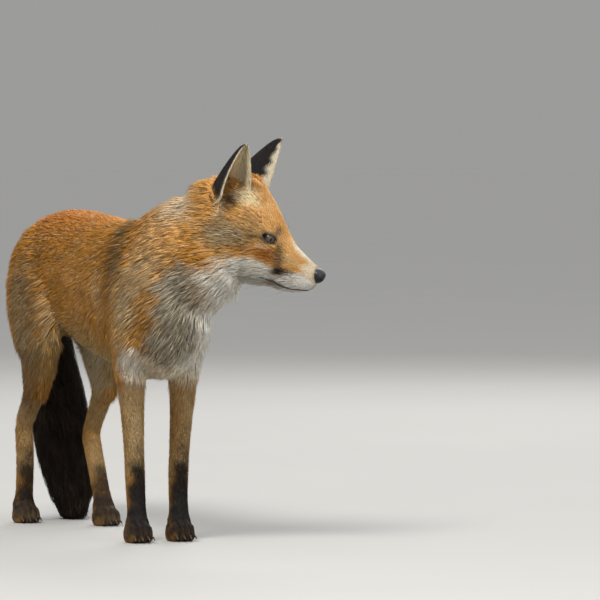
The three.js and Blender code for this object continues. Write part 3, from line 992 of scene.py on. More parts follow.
class Region(Enum):
    """The coat's pieces: name, slot, and the middle line that each is unrolled about.

    The line is given as the frame's name and a place on it in millimetres. It runs along x of the
    body or head frame, or, for a leg, upright in the body frame.
    """

    FACE = ("coat_face", "coat", "head", (0, 0, -22))
    CROWN_RIGHT = ("coat_crown_right", "coat", "head", (0, 0, -10))
    CROWN_LEFT = ("coat_crown_left", "coat", "head", (0, 0, -10))
    FORE_RIGHT = ("coat_shoulder_right", "coat", "body", (0, 0, 310))
    FORE_LEFT = ("coat_shoulder_left", "coat", "body", (0, 0, 310))
    FLANK_RIGHT = ("coat_flank_right", "coat", "body", (0, 0, 310))
    FLANK_LEFT = ("coat_flank_left", "coat", "body", (0, 0, 310))
    RUMP_RIGHT = ("coat_rump_right", "coat", "body", (0, 0, 310))
    RUMP_LEFT = ("coat_rump_left", "coat", "body", (0, 0, 310))
    FORELEG_RIGHT = ("coat_foreleg_right", "leg_coat", "leg", (122, -31, 0))
    FORELEG_LEFT = ("coat_foreleg_left", "leg_coat", "leg", (122, 31, 0))
    HINDLEG_RIGHT = ("coat_hindleg_right", "leg_coat", "leg", (-200, -41, 0))
    HINDLEG_LEFT = ("coat_hindleg_left", "leg_coat", "leg", (-150, 35, 0))
    TAIL_UPPER = ("coat_tail_upper", "dark_coat", "leg", (-268, 8, 0))
    TAIL_LOWER = ("coat_tail_lower", "dark_coat", "leg", (-250, 24, 0))


@dataclass
class CoatMaker:
    """Sows tufts over a surface and turns them into pieces.

    clump is the size of a lock, gather how far its tufts lean together, stray how far a whole lock
    leans aside, and thinning multiplies the cover. A root lies sink under the skin. The _span pairs
    are the limits between which chance varies each tuft, and the bare_ values say where none grow.
    """

    body: Place
    head: Place
    coat: Coat
    markings: Markings
    eyes: tuple[Eye, Eye]
    seed: int = 11
    clump: float = 6 * MM
    face_clump: float = 2.6 * MM
    ear_clump: float = 2.5 * MM
    gather: float = 0.3
    stray: float = 0.1
    thinning: float = 0.88
    sink: float = 0.5 * MM
    length_span: Span = (0.7, 1.15)
    width_span: Span = (0.7, 1.25)
    rise_span: Span = (0.6, 1.15)
    rise_limits: Span = (0.12, 0.7)
    tone_span: Span = (0.74, 1.2)
    dark_share: float = 0.09
    dark_shade: float = 0.42
    hash_rows: tuple[Vec3, Vec3, Vec3] = ((127.1, 269.5, 74.7), (311.7, 183.3, 246.1), (98.3, 55.9, 151.7))
    hash_scale: float = 43758.5453
    bare_nose: Vec3 = (130, 0, -27)
    bare_nose_radii: Vec3 = (12.2, 11.4, 10.6)
    bare_sole: float = 1.5 * MM
    bare_eye: float = 0.98
    mouth_end: float = 54

    def sow(self, surface: Surface, scale: float = 1.0) -> Tufts:
        """Scatters tufts over the triangles in step with the cover, and lays each one down.

        Each triangle gets its share of a running total of area times cover, so that the spacing is
        even.

        Args:
            surface: the skin.
            scale: multiplies the cover.

        Returns:
            The tufts.
        """
        rng = np.random.default_rng(self.seed)
        a, b, c = (surface.points[surface.triangles[:, k]] for k in range(3))
        area = 0.5 * np.linalg.norm(np.cross(b - a, c - a), axis=1) / MM**2
        if surface.sizes is None:
            cover = self.coat.measure((a + b + c) / 3)[:, 3]
        else:
            cover = surface.sizes[surface.triangles, 3].mean(1)
        running = np.cumsum(area * cover * scale * self.thinning)
        count = int(running[-1])
        drawn = np.searchsorted(running, (np.arange(count) + rng.random(count)) / count * running[-1])
        drawn = np.minimum(drawn, len(area) - 1)
        u, v = rng.random(count), rng.random(count)
        over = u + v > 1
        u, v = np.where(over, 1 - u, u), np.where(over, 1 - v, v)
        share = np.stack([1 - u - v, u, v], 1)[:, :, None]
        corners = surface.triangles[drawn]

        def blend(values: Array) -> Array:
            """A value at the corners, carried to the root."""
            return (values[corners] * share).sum(1)

        root = blend(surface.points)
        normal = unit(blend(surface.normals))
        flow = blend(surface.flow)
        flow = unit(flow - normal * dot(flow, normal))
        sizes = self.coat.measure(root) if surface.sizes is None else blend(surface.sizes)
        base = self.markings.tone(root) if surface.tones is None else blend(surface.tones)
        length = sizes[:, 1] * rng.uniform(*self.length_span, count)
        curve = np.clip(blend(surface.curve)[:, 0], -0.9 / length, 0.9 / length)
        tone, tip = self.colours(root, base, rng)
        width = sizes[:, 2] * rng.uniform(*self.width_span, count)
        rise = np.clip(sizes[:, 0] / sizes[:, 1], *self.rise_limits) * rng.uniform(*self.rise_span, count)
        return Tufts(root - normal * self.sink, normal, flow, length, width, rise, curve, tone, tip,
                     np.zeros((count, 2)))

    def colours(self, root: Array, base: Array, rng: np.random.Generator) -> tuple[Array, Array]:
        """The colours at each tuft's root and tip.

        Args:
            root: where the tufts grow.
            base: the coat's colour there.
            rng: the source of chance.

        Returns:
            Root and tip colours. Some tips are pale where the coat is grey, and a few tufts are dark.
        """
        count = len(root)
        lock = 1.0 + 0.12 * ripple(root, 7 * MM, 2.0)[:, None] + 0.1 * ripple(root, 27 * MM, 6.0)[:, None]
        tone = base * lock * rng.uniform(*self.tone_span, (count, 1))
        grey = 1.0 - smoothstep(1.0, 4.0, (tone[:, 0] - tone[:, 2]) / np.maximum(tone[:, 2], 0.01))
        dark = smoothstep(0.09, 0.16, tone[:, 0])
        pale = ((rng.random(count) < 0.1 + 0.42 * grey) * dark)[:, None] * 0.6
        tone *= np.where(rng.random((count, 1)) < self.dark_share, self.dark_shade, 1.0)
        tip = tone * 1.12 * (1 - pale) + np.array(Fur.CREAM.value) * pale
        return tone, tip

    def bends(self, tufts: Tufts, clump: float) -> Array:
        """How far each tip moves sideways: towards the middle of its cell, and with the cell's own lean.

        The lean is the broken part of a large multiple of a sine of the cell's number, less a half.

        Args:
            tufts: the tufts.
            clump: the size of a cell.

        Returns:
            One vector for each tuft.
        """
        jitter = 0.4 * clump * np.stack([ripple(tufts.root, clump * 1.3, s) for s in (0.3, 5.1, 9.7)], 1)
        cell = np.floor((tufts.root + jitter) / clump)
        lean = (np.sin(cell @ np.array(self.hash_rows)) * self.hash_scale) % 1.0 - 0.5
        middle = (cell + 0.5 + 0.5 * lean) * clump - jitter
        reach = middle - tufts.root
        reach -= tufts.normal * dot(reach, tufts.normal)
        reach -= tufts.flow * dot(reach, tufts.flow) * 0.6
        lean -= tufts.normal * dot(lean, tufts.normal) * 0.7
        return self.gather * reach + 2 * self.stray * lean * tufts.length[:, None]

    def sort(self, tufts: Tufts) -> list[tuple[Region, Tufts]]:
        """Gives each tuft the first region that it is inside, and its place on that region's map.

        The limits are millimetres in the body frame, or in the head frame for the face.

        Args:
            tufts: all the tufts.

        Returns:
            The regions that have tufts, with theirs.
        """
        ground = self.body.into(tufts.root) / MM
        face = self.head.into(tufts.root) / MM
        x, y, z = ground.T
        right = y < 0
        in_head = (face[:, 0] + 0.35 * face[:, 2] > -26) & (z > 300) & (x > 120)
        brush = in_tail(ground * MM) > 0.5
        fore = (z < 205) & (x > 0)
        hind = (z < 232) & (x < -60)
        order = [
            (Region.FACE, in_head & (face[:, 0] > 44)),
            (Region.CROWN_RIGHT, in_head & (face[:, 1] < 0)),
            (Region.CROWN_LEFT, in_head),
            (Region.TAIL_UPPER, brush & (z > 190)),
            (Region.TAIL_LOWER, brush),
            (Region.FORELEG_RIGHT, fore & right),
            (Region.FORELEG_LEFT, fore),
            (Region.HINDLEG_RIGHT, hind & right),
            (Region.HINDLEG_LEFT, hind),
            (Region.FORE_RIGHT, (x > 60) & np.where(x > 140, y < 30, right)),
            (Region.FORE_LEFT, x > 60),
            (Region.FLANK_RIGHT, (x > -90) & right),
            (Region.FLANK_LEFT, x > -90),
            (Region.RUMP_RIGHT, right),
            (Region.RUMP_LEFT, np.ones(len(x), bool)),
        ]
        left = np.ones(len(x), bool)
        result = []
        for region, inside in order:
            chosen = tufts.pick(left & inside)
            left &= ~inside
            if len(chosen.root):
                chosen.uv = self.unroll(region, chosen.root)
                result.append((region, chosen))
        return result

    def unroll(self, region: Region, root: Array) -> Array:
        """Cylinder map about the region's middle line: u along it and v the angle round it."""
        _, _, frame, middle = region.value
        local = (self.head if frame == "head" else self.body).into(root) / MM - np.array(middle)
        along, across, up = (2, 0, 1) if frame == "leg" else (0, 1, 2)
        return self.fit_map(local[:, along], np.arctan2(local[:, across], local[:, up]))

    @staticmethod
    def fit_map(along: Array, angle: Array) -> Array:
        """Stretches both ways of a map to run from 0.02 to 0.98."""
        raw = np.stack([along, angle], 1)
        low, high = raw.min(0), raw.max(0)
        return 0.02 + 0.96 * (raw - low) / np.maximum(high - low, 1e-6)

    def build(self, surface: Surface, finish: Dress, scale: float) -> None:
        """Makes every piece of the body's coat.

        Args:
            surface: the skin.
            finish: dresses a piece for a slot.
            scale: multiplies the cover.
        """
        tufts = self.sow(surface, scale)
        tufts = tufts.pick(self.clear(tufts.root))
        log.info("%d tufts", len(tufts.root))
        for region, chosen in self.sort(tufts):
            name, slot = region.value[:2]
            if region is Region.FACE or "leg" in name:
                shape, clump = SHORT_TUFT, self.face_clump
            else:
                shape, clump = LONG_TUFT, self.clump * (0.7 if "crown" in name else 1)
            finish(shape.mesh(name, chosen, self.bends(chosen, clump)), slot)

    def build_ear(self, name: str, surface: Surface, finish: Dress, scale: float) -> None:
        """Makes one ear's coat, unrolled by height and by angle about the ear's middle.

        Args:
            name: the piece's name.
            surface: the ear's shell.
            finish: dresses a piece for a slot.
            scale: multiplies the cover.
        """
        tufts = self.sow(surface, scale)
        local = (tufts.root - surface.points.mean(0)) @ self.head.axes
        tufts.uv = self.fit_map(local[:, 2], np.arctan2(local[:, 1], local[:, 0]))
        finish(SHORT_TUFT.mesh(name, tufts, self.bends(tufts, self.ear_clump)), "dark_coat")

    def clear(self, root: Array) -> Array:
        """Keeps tufts off the nose pad, the eyes, the lips and the floor.

        Args:
            root: where the tufts grow.

        Returns:
            Which tufts stay.
        """
        local = self.head.into(root) / MM
        nose = np.linalg.norm((local - self.bare_nose) / self.bare_nose_radii, axis=1) > 1.0
        free = nose & (self.body.into(root)[:, 2] > self.bare_sole)
        for eye in self.eyes:
            spot = eye.frame.into(root) / MM
            free &= (eye.reach(spot) > self.bare_eye) | (spot[:, 2] < 0)
        line = np.array(Mouth().line)
        lip = np.abs(local[:, 2] - np.interp(local[:, 0], line[:, 0], line[:, 1]))
        bare_lip = 1.9 - 0.7 * smoothstep(95, 110, local[:, 0])
        return free & ((lip > bare_lip) | (local[:, 0] < self.mouth_end))


# ---- Head: eyes, nose, lips, whiskers, ears -------------------------------------------------------


def sweep(name: str, paths: Array, radii: Array, sides: int, up: Vec3, tone: Vec3,
          flat: float = 1.0) -> bpy.types.Object:
    """Carries a ring along each path: point = path + radius * (cos a * side + flat * sin a * over).

    Args:
        name: the piece's name.
        paths: K x S x 3 middle lines.
        radii: K x S radii.
        sides: corners of a ring.
        up: roughly which way a ring's second axis looks.
        tone: the piece's colour.
        flat: thickness over width.

    Returns:
        The piece, its ends closed by fans.
    """
    count, stations, _ = paths.shape
    tangent = unit(np.gradient(paths, axis=1))
    side = unit(np.cross(np.array(up), tangent))
    over = np.cross(tangent, side)
    angle = np.linspace(0, 2 * np.pi, sides, endpoint=False)[None, None, :, None]
    ring = np.cos(angle) * side[:, :, None] + flat * np.sin(angle) * over[:, :, None]
    points = paths[:, :, None] + radii[:, :, None, None] * ring
    quads = grid_faces(stations, sides)
    fan = np.stack([np.zeros(sides - 2, int), np.arange(2, sides), np.arange(1, sides - 1)], 1)
    last = (stations - 1) * sides
    one = np.concatenate([quads[:, [0, 1, 2]], quads[:, [0, 2, 3]], fan, fan[:, ::-1] + last])
    faces = repeated(one, count, stations * sides)
    return write_mesh(name, points.reshape(-1, 3), faces, None, np.tile(tone, (points.size // 3, 1)))


@dataclass
class Eye:
    """One eyeball with its lids.

    Lengths are millimetres in the head frame, colours are linear, and side is 1 on the fox's left.
    """

    head: Place
    side: int
    radius: float = 8.5
    sunk: float = 1.0
    half: float = 8.9
    upper: float = 3.7
    lower: float = 3.5
    gaze: float = 9.0
    iris: float = 5.9
    cornea: float = 0.7
    cornea_angle: float = math.radians(42)
    amber: Vec3 = (0.10, 0.064, 0.028)
    iris_rim: Vec3 = (0.055, 0.05, 0.044)
    limbus: Vec3 = (0.012, 0.01, 0.009)
    sclera: Vec3 = (0.03, 0.022, 0.018)
    pupil: Vec3 = (0.003, 0.003, 0.003)
    lid: Vec3 = (0.016, 0.012, 0.011)
    frame: Place = field(init=False)

    def __post_init__(self) -> None:
        """Sets the eye's own frame: x along the opening to the nose, y up, z out along the sight line."""
        out = unit(np.array([0.36, self.side * 0.93, 0.07]))
        along = np.array([0.905, -self.side * 0.345, -0.246])
        along = unit(along - out * (along @ out))
        up = np.cross(out, along) * -self.side
        up = up * np.sign(up[2])
        at = np.array(HeadPose().eye) * [1, self.side, 1] - out * self.sunk * MM
        self.frame = self.head.within(at, np.stack([along, up, out], 1))

    def sided(self, piece: str) -> str:
        """A piece's name with the eye's side."""
        return piece + ("_left" if self.side > 0 else "_right")

    def opening(self, angle: Array) -> Array:
        """The almond between the lids: x = half cos a, y = the lid's height times a power of sin a.

        Returns:
            N x 2 places in the eye's frame, in millimetres.
        """
        c, s = np.cos(angle), np.sin(angle)
        tall = np.where(s > 0, self.upper * (1 + 0.12 * c), self.lower * (1 - 0.25 * c))
        return np.stack([self.half * c, tall * np.sign(s) * np.abs(s) ** 1.35 - 0.5 * c**3], 1)

    def margin(self, flat: Array) -> Array:
        """How far out the lids' edge lies over a place: on the ball, but never deeper than the corners."""
        on_ball = np.sqrt(np.maximum(self.radius**2 - (flat**2).sum(1), 0.0))
        return 0.5 * (on_ball + 5.0 + np.sqrt((on_ball - 5.0) ** 2 + 1.0)) - 0.1

    def reach(self, local: Array) -> Array:
        """How far out of the opening places in the eye's frame are: 1 about 1.5 mm outside its edge."""
        return np.hypot(local[:, 0] / (self.half + 1.4), (local[:, 1] - 0.2) / (self.upper + 1.7))

    def socket(self, points: Array) -> Array:
        """Draws skin points under the opening back into the ball, and raises a brow over it.

        Args:
            points: the skin's points.

        Returns:
            The moved points.
        """
        local = self.frame.into(points) / MM
        reach = self.reach(local)
        near = local[:, 2] > -2.0
        sink = (1 - smoothstep(0.8, 1.0, reach)) * near
        local[:, 2] = local[:, 2] * (1 - sink) + 1.5 * sink
        brow = np.exp(-(((local[:, 0] + 1) / 9) ** 2) - ((local[:, 1] - 8.5) / 3.4) ** 2)
        bag = np.exp(-(((local[:, 0] + 1) / 8) ** 2) - ((local[:, 1] + 7.5) / 3.0) ** 2)
        local[:, 2] += (1.5 * brow + 0.7 * bag) * near * (1 - sink)
        return self.frame.out(local * MM)

    def lids(self, skin: Surface, tone: Callable[[Array], Array]) -> bpy.types.Object:
        """A ribbon round the opening, from under the skin, over the lid's edge, to behind the ball.

        Each row is the opening moved outwards in its plane, at a height set from the skin outside and
        the ball inside.

        Args:
            skin: the skin round the eye.
            tone: gives the coat's colour at places.

        Returns:
            The piece.
        """
        angle = np.linspace(0, 2 * np.pi, 72, endpoint=False)
        flat = self.opening(angle)
        away = unit(np.stack([np.cos(angle) * 0.6, np.sin(angle)], 1))
        edge = self.margin(flat)
        local = self.frame.into(skin.points) / MM
        near = local[(np.abs(local[:, :2]) < 22).all(1) & (local[:, 2] > 0) & (self.reach(local) > 1.04)]
        outside = flat + away * 4.6
        gap = ((outside[:, None] - near[None, :, :2]) ** 2).sum(2)
        level = np.take(near[:, 2], np.argsort(gap, 1)[:, :4]).mean(1)
        for _ in range(3):
            level = (level + np.roll(level, 1) + np.roll(level, -1)) / 3
        above = np.maximum(np.sin(angle), 0.0)
        # For each row: how far out it is, its share of the skin's level, its height over that, and its hair.
        steps = (
            (5.2, 1.0, -1.3, 1.0), (4.0, 1.0, -0.25, 0.9), (3.0, 0.8, 0.33, 0.6),
            (2.3, 0.6, 0.36 - 0.45 * above, 0.25), (1.6, 0.3, 0.7 + 0.2 * above, 0.1),
            (1.0, 0.0, 0.95, 0.0), (0.35, 0.0, 0.85, 0.0), (0.0, 0.0, 0.35, 0.0),
            (-0.1, 0.0, -0.4, 0.0), (-1.5, 0.0, -3.0, 0.0),
        )
        rows = [np.column_stack([flat + away * out, follow * level + (1 - follow) * edge + height])
                for out, follow, height, _ in steps]
        points = self.frame.out(np.concatenate(rows) * MM)
        shade = np.repeat([hair for *_, hair in steps], len(angle))[:, None]
        # The hair on the ribbon's outer rows is the coat's colour darkened to 0.7, as on the skin: painted
        # shade between the tufts.
        colour = tone(points) * 0.7 * shade + np.array(self.lid) * (1 - shade)
        obj = write_mesh(self.sided("lids"), points, grid_faces(len(steps), len(angle)), None, colour)
        thick = obj.modifiers.new("wall", "SOLIDIFY")
        thick.thickness = 0.25 * MM
        return turn_outwards(obj, self.frame.axes[:, 2])

    def ball(self) -> bpy.types.Object:
        """The eyeball: a sphere with a bulged cornea, its rings round the sight line.

        At an angle a from the sight line its radius is radius + cornea (1 - (a / cornea_angle)^2)^2.
        The pupil is an upright almond, and the iris runs from amber to a dark rim.

        Returns:
            The piece.
        """
        front, back, sides = 52, 20, 96
        polar = np.concatenate([np.linspace(0.0, 0.9, front), np.linspace(0.93, np.pi, back)])
        a, b = ball_grid(polar, sides)
        size = self.radius + self.cornea * np.clip(1 - (a / self.cornea_angle) ** 2, 0, 1) ** 2
        local = np.stack([np.sin(a) * np.cos(b), np.sin(a) * np.sin(b), np.cos(a)], -1) * size[..., None]
        looks = local @ turn(1, self.gaze).T
        flat = local[..., :2].reshape(-1, 2)
        out = np.hypot(flat[:, 0], flat[:, 1])
        angle = np.arctan2(flat[:, 1], flat[:, 0])
        fibre = 0.5 + 0.5 * np.sin(angle * 23 + 2.0 * np.sin(angle * 7)) * np.sin(angle * 41 + out * 0.8)
        ring = smoothstep(1.2, self.iris, out)[:, None]
        amber = np.array(self.amber) * (0.7 + 0.45 * fibre[:, None])
        colour = mixed(amber, np.array(self.iris_rim) * (0.75 + 0.35 * fibre[:, None]), ring)
        colour = mixed(colour, self.limbus, smoothstep(self.iris - 0.7, self.iris - 0.1, out)[:, None])
        colour = mixed(colour, self.sclera, smoothstep(self.iris + 0.1, self.iris + 1.0, out)[:, None])
        slit = np.abs(flat[:, 0]) / 1.45 + (np.abs(flat[:, 1]) / 3.3) ** 2
        inside = (1 - smoothstep(0.85, 1.08, slit)) * (local[..., 2].ravel() > 0)
        colour = mixed(colour, self.pupil, inside[:, None])
        points = self.frame.out(looks.reshape(-1, 3) * MM)
        return weld(write_mesh(self.sided("eyeball"), points, grid_faces(front + back, sides), None, colour))


@dataclass(frozen=True)
class NosePad:
    """The bare nose, in the head frame in millimetres. nostril and wing are directions from its centre."""

    at: Vec3 = (128.2, 0.0, -27.0)
    radii: Vec3 = (10.4, 10.0, 9.4)
    dip: float = 20.0
    nostril: Vec3 = (0.74, 0.56, -0.12)
    wing: Vec3 = (0.7, 0.62, 0.2)
    front: float = 6.0
    leather: Vec3 = (0.006, 0.0058, 0.0064)
    # Painted sheen: the top of the pad is lighter and bluer, as if lit from above.
    top_leather: Vec3 = (0.026, 0.027, 0.034)

    def place(self, head: Place) -> Place:
        """The pad's own frame, dipped to the front."""
        return head.within(np.array(self.at) * MM, turn(1, self.dip))

    def tuck(self, head: Place, points: Array) -> Array:
        """Draws the skin's points that the pad covers back inside it.

        Args:
            head: the head frame.
            points: the skin's points.

        Returns:
            The moved points.
        """
        place = self.place(head)
        local = place.into(points) / MM
        reach = np.linalg.norm(local / np.array(self.radii), axis=1, keepdims=True)
        target = 0.5 * np.minimum(1.0, reach / 0.5)
        share = 1 - smoothstep(1.02, 1.16, reach)
        return place.out(local * (1 + share * (target / np.maximum(reach, 1e-6) - 1)) * MM)

    def build(self, head: Place) -> bpy.types.Object:
        """A ball of directions d, each at radii * d, flattened in front, with dents.

        A nostril is a dent of 0.42 exp(-|d - n|^2 / 0.042) of the radius, with a slit of 0.16 running
        back and out of it. The groove under the middle is 0.08 deep, and the wing over the nostril
        stands out by 0.05.

        Args:
            head: the head frame.

        Returns:
            The piece.
        """
        rings, sides = 80, 110
        a, b = ball_grid(np.linspace(0, np.pi, rings), sides)
        d = np.stack([np.cos(a), np.sin(a) * np.cos(b), np.sin(a) * np.sin(b)], -1).reshape(-1, 3)
        both = folded(d)
        hole, wing = (np.exp(-((both - unit(np.array(way))) ** 2).sum(1) / spread)
                      for way, spread in ((self.nostril, 0.042), (self.wing, 0.05)))
        slit = np.exp(-((both[:, 2] + 0.22 + 0.2 * (0.75 - both[:, 0])) / 0.07) ** 2)
        slit *= smoothstep(0.15, 0.5, both[:, 0]) * smoothstep(0.5, 0.75, both[:, 1])
        groove = np.exp(-((d[:, 1] / 0.07) ** 2)) * smoothstep(0.3, -0.2, d[:, 2])
        groove *= smoothstep(0.2, 0.6, d[:, 0])
        scale = 1 - 0.42 * hole - 0.16 * slit - 0.08 * groove + 0.05 * wing
        local = d * np.array(self.radii) * scale[:, None]
        past = np.maximum(local[:, 0] - self.front, 0.0)
        local[:, 0] -= 0.28 * past
        local[:, 2] += 0.012 * local[:, 0] * np.abs(local[:, 0])
        # The nostrils, their slits and the groove are darkened: painted shade in the dents.
        dark = (1 - 0.85 * np.clip(hole + 0.6 * slit + 0.4 * groove, 0, 1))[:, None]
        # The top of the pad blends to a lighter, bluer colour: a painted sheen.
        colour = mixed(np.array(self.leather) * dark, self.top_leather, smoothstep(0.2, 0.9, d[:, 2:]))
        points = self.place(head).out(local * MM)
        return weld(write_mesh("nose_pad", points, grid_faces(rings, sides), None, colour))


@dataclass(frozen=True)
class Mouth:
    """The dark line of the shut lips and the whiskers, in the head frame in millimetres."""

    line: tuple[tuple[float, float], ...] = (
        (50, -48.5), (56, -47.5), (62, -47.3), (68, -47.5), (74, -47.6), (80, -48.3), (86, -50), (92, -51.3),
        (98, -52), (104, -52), (111, -50.6), (118, -48.6), (126, -46.5),
    )
    radius: float = 0.95
    near: float = 2.6
    stations: int = 12
    pad_rows: tuple[float, ...] = (-31, -35, -39.5, -43)
    lip_tone: Vec3 = (0.02, 0.015, 0.013)
    whisker_tone: Vec3 = (0.014, 0.012, 0.011)

    def on_skin(self, local: Array, spots: Array, side: int) -> Array:
        """Finds how far out the skin is at places of the profile, as its widest point near each.

        Args:
            local: the skin's points in the head frame.
            spots: x and z of each place.
            side: 1 on the fox's left.

        Returns:
            How far from the middle plane the skin is at each place.
        """
        gap = ((spots[:, None] - local[None, :, [0, 2]]) ** 2).sum(2)
        wide = np.where(gap < self.near**2, local[None, :, 1] * side, -1.0).max(1)
        filled = np.interp(np.arange(len(wide)), np.flatnonzero(wide > 0), wide[wide > 0])
        return np.where(wide < 0, filled, wide)

    def lips(self, head: Place, skin: Surface) -> bpy.types.Object:
        """One tube from the right corner of the mouth, round the front, to the left corner.

        Its middle line is drawn on to the skin and smoothed in turn, and pushed a little out of it,
        more behind. Its radius grows from the front to the sides and closes at the corners.

        Args:
            head: the head frame.
            skin: the skin.

        Returns:
            The piece.
        """
        local = head.into(skin.points) / MM
        local = local[(local[:, 0] > 40) & (local[:, 0] < 124) & (np.abs(local[:, 2] + 48) < 12)]
        line = np.array(self.line)
        fine = np.linspace(0, len(line) - 1, 60)
        flat = np.stack([np.interp(fine, np.arange(len(line)), line[:, k]) for k in range(2)], 1)
        front = local[(np.abs(local[:, 1]) < 3) & (np.abs(local[:, 2] + 46.5) < 2.5), 0].max() + 0.2
        flat = flat[flat[:, 0] < front - 7.0]
        halves = []
        for side in (-1, 1):
            wide = self.on_skin(local, flat, side)
            wide = np.convolve(np.pad(wide, 3, mode="edge"), np.ones(7) / 7, "valid")
            halves.append(np.stack([flat[:, 0], side * wide, flat[:, 1]], 1))
        reach, end = halves[1][-1, 1], flat[-1]
        round_ = np.linspace(np.pi / 2, -np.pi / 2, 21)[1:-1]
        bow = np.column_stack([end[0] + (front - end[0]) * np.cos(round_), -reach * np.sin(round_),
                               end[1] + 0.8 * np.cos(round_)])
        path = np.concatenate([halves[0], bow, halves[1][::-1]])
        for _ in range(3):
            gap = ((path[:, None] - local[None]) ** 2).sum(2)
            path[:] = local[np.argsort(gap, 1)[:, :5]].mean(1)
            for _ in range(4):
                path[1:-1] = 0.5 * path[1:-1] + 0.25 * (path[2:] + path[:-2])
        path[:, 1] += (0.6 + 1.6 * smoothstep(98, 76, path[:, 0])) * np.clip(path[:, 1] / 4, -1, 1)
        t = np.abs(2 * np.linspace(0, 1, len(path)) - 1)
        radii = (self.radius + smoothstep(0.2, 0.6, t)) * np.sqrt(np.clip(1 - t**12, 0.02, 1))
        path, radii = head.out(path[None] * MM), radii[None] * MM
        return weld(sweep("lips", path, radii, 10, (0, 0, 1), self.lip_tone, 0.85))

    def whiskers(self, head: Place, skin: Surface, seed: int = 5) -> bpy.types.Object:
        """Tapered hairs from rows on the pads, and a few over the eyes, each a line bent by its droop.

        A hair's line is root + length * (way * t + droop * t * t).

        Args:
            head: the head frame.
            skin: the skin.
            seed: sets the chances.

        Returns:
            The piece.
        """
        rng = np.random.default_rng(seed)
        local = head.into(skin.points) / MM
        near = local[local[:, 0] > 50]
        rows = [(x, z) for row, z in enumerate(self.pad_rows) for x in np.arange(114 - 2 * row, 92, -6.0)]
        roots, ways, lengths = [], [], []
        for side in (-1, 1):
            spots = np.array(rows) + rng.uniform(-0.8, 0.8, (len(rows), 2))
            wide = self.on_skin(near, spots, side)
            back = (116 - spots[:, 0]) / 24
            roots.append(np.stack([spots[:, 0], side * (wide - 0.4), spots[:, 1]], 1))
            way = np.column_stack([-0.25 - 0.75 * back, side * (1.0 - 0.25 * back),
                                   0.28 + (spots[:, 1] + 34) * 0.06])
            ways.append(way + rng.normal(0, 0.09, way.shape))
            lengths.append(22 + 36 * back + rng.uniform(-5, 6, len(rows)))
            roots.append(np.array([[70.0, 21, 14], [66, 23, 15], [74, 18, 12]]) * [1, side, 1])
            ways.append(np.array([[-0.3, 0.55, 0.85], [-0.5, 0.6, 0.8], [-0.1, 0.5, 0.9]]) * [1, side, 1])
            lengths.append(np.array([24.0, 20.0, 16.0]))
        root, way, length = np.concatenate(roots), unit(np.concatenate(ways)), np.concatenate(lengths)
        t = np.linspace(0, 1, self.stations)
        droop = np.array([-0.12, 0, -0.2]) + rng.normal(0, 0.04, root.shape)
        bent = way[:, None] * t[:, None] + droop[:, None] * t[:, None] ** 2
        paths = root[:, None] + length[:, None, None] * bent
        radii = np.tile(0.15 * (1 - t**1.3) + 0.03, (len(root), 1))
        return sweep("whiskers", head.out(paths * MM), radii * MM, 4, (0.0, 0.31, 0.95), self.whisker_tone)


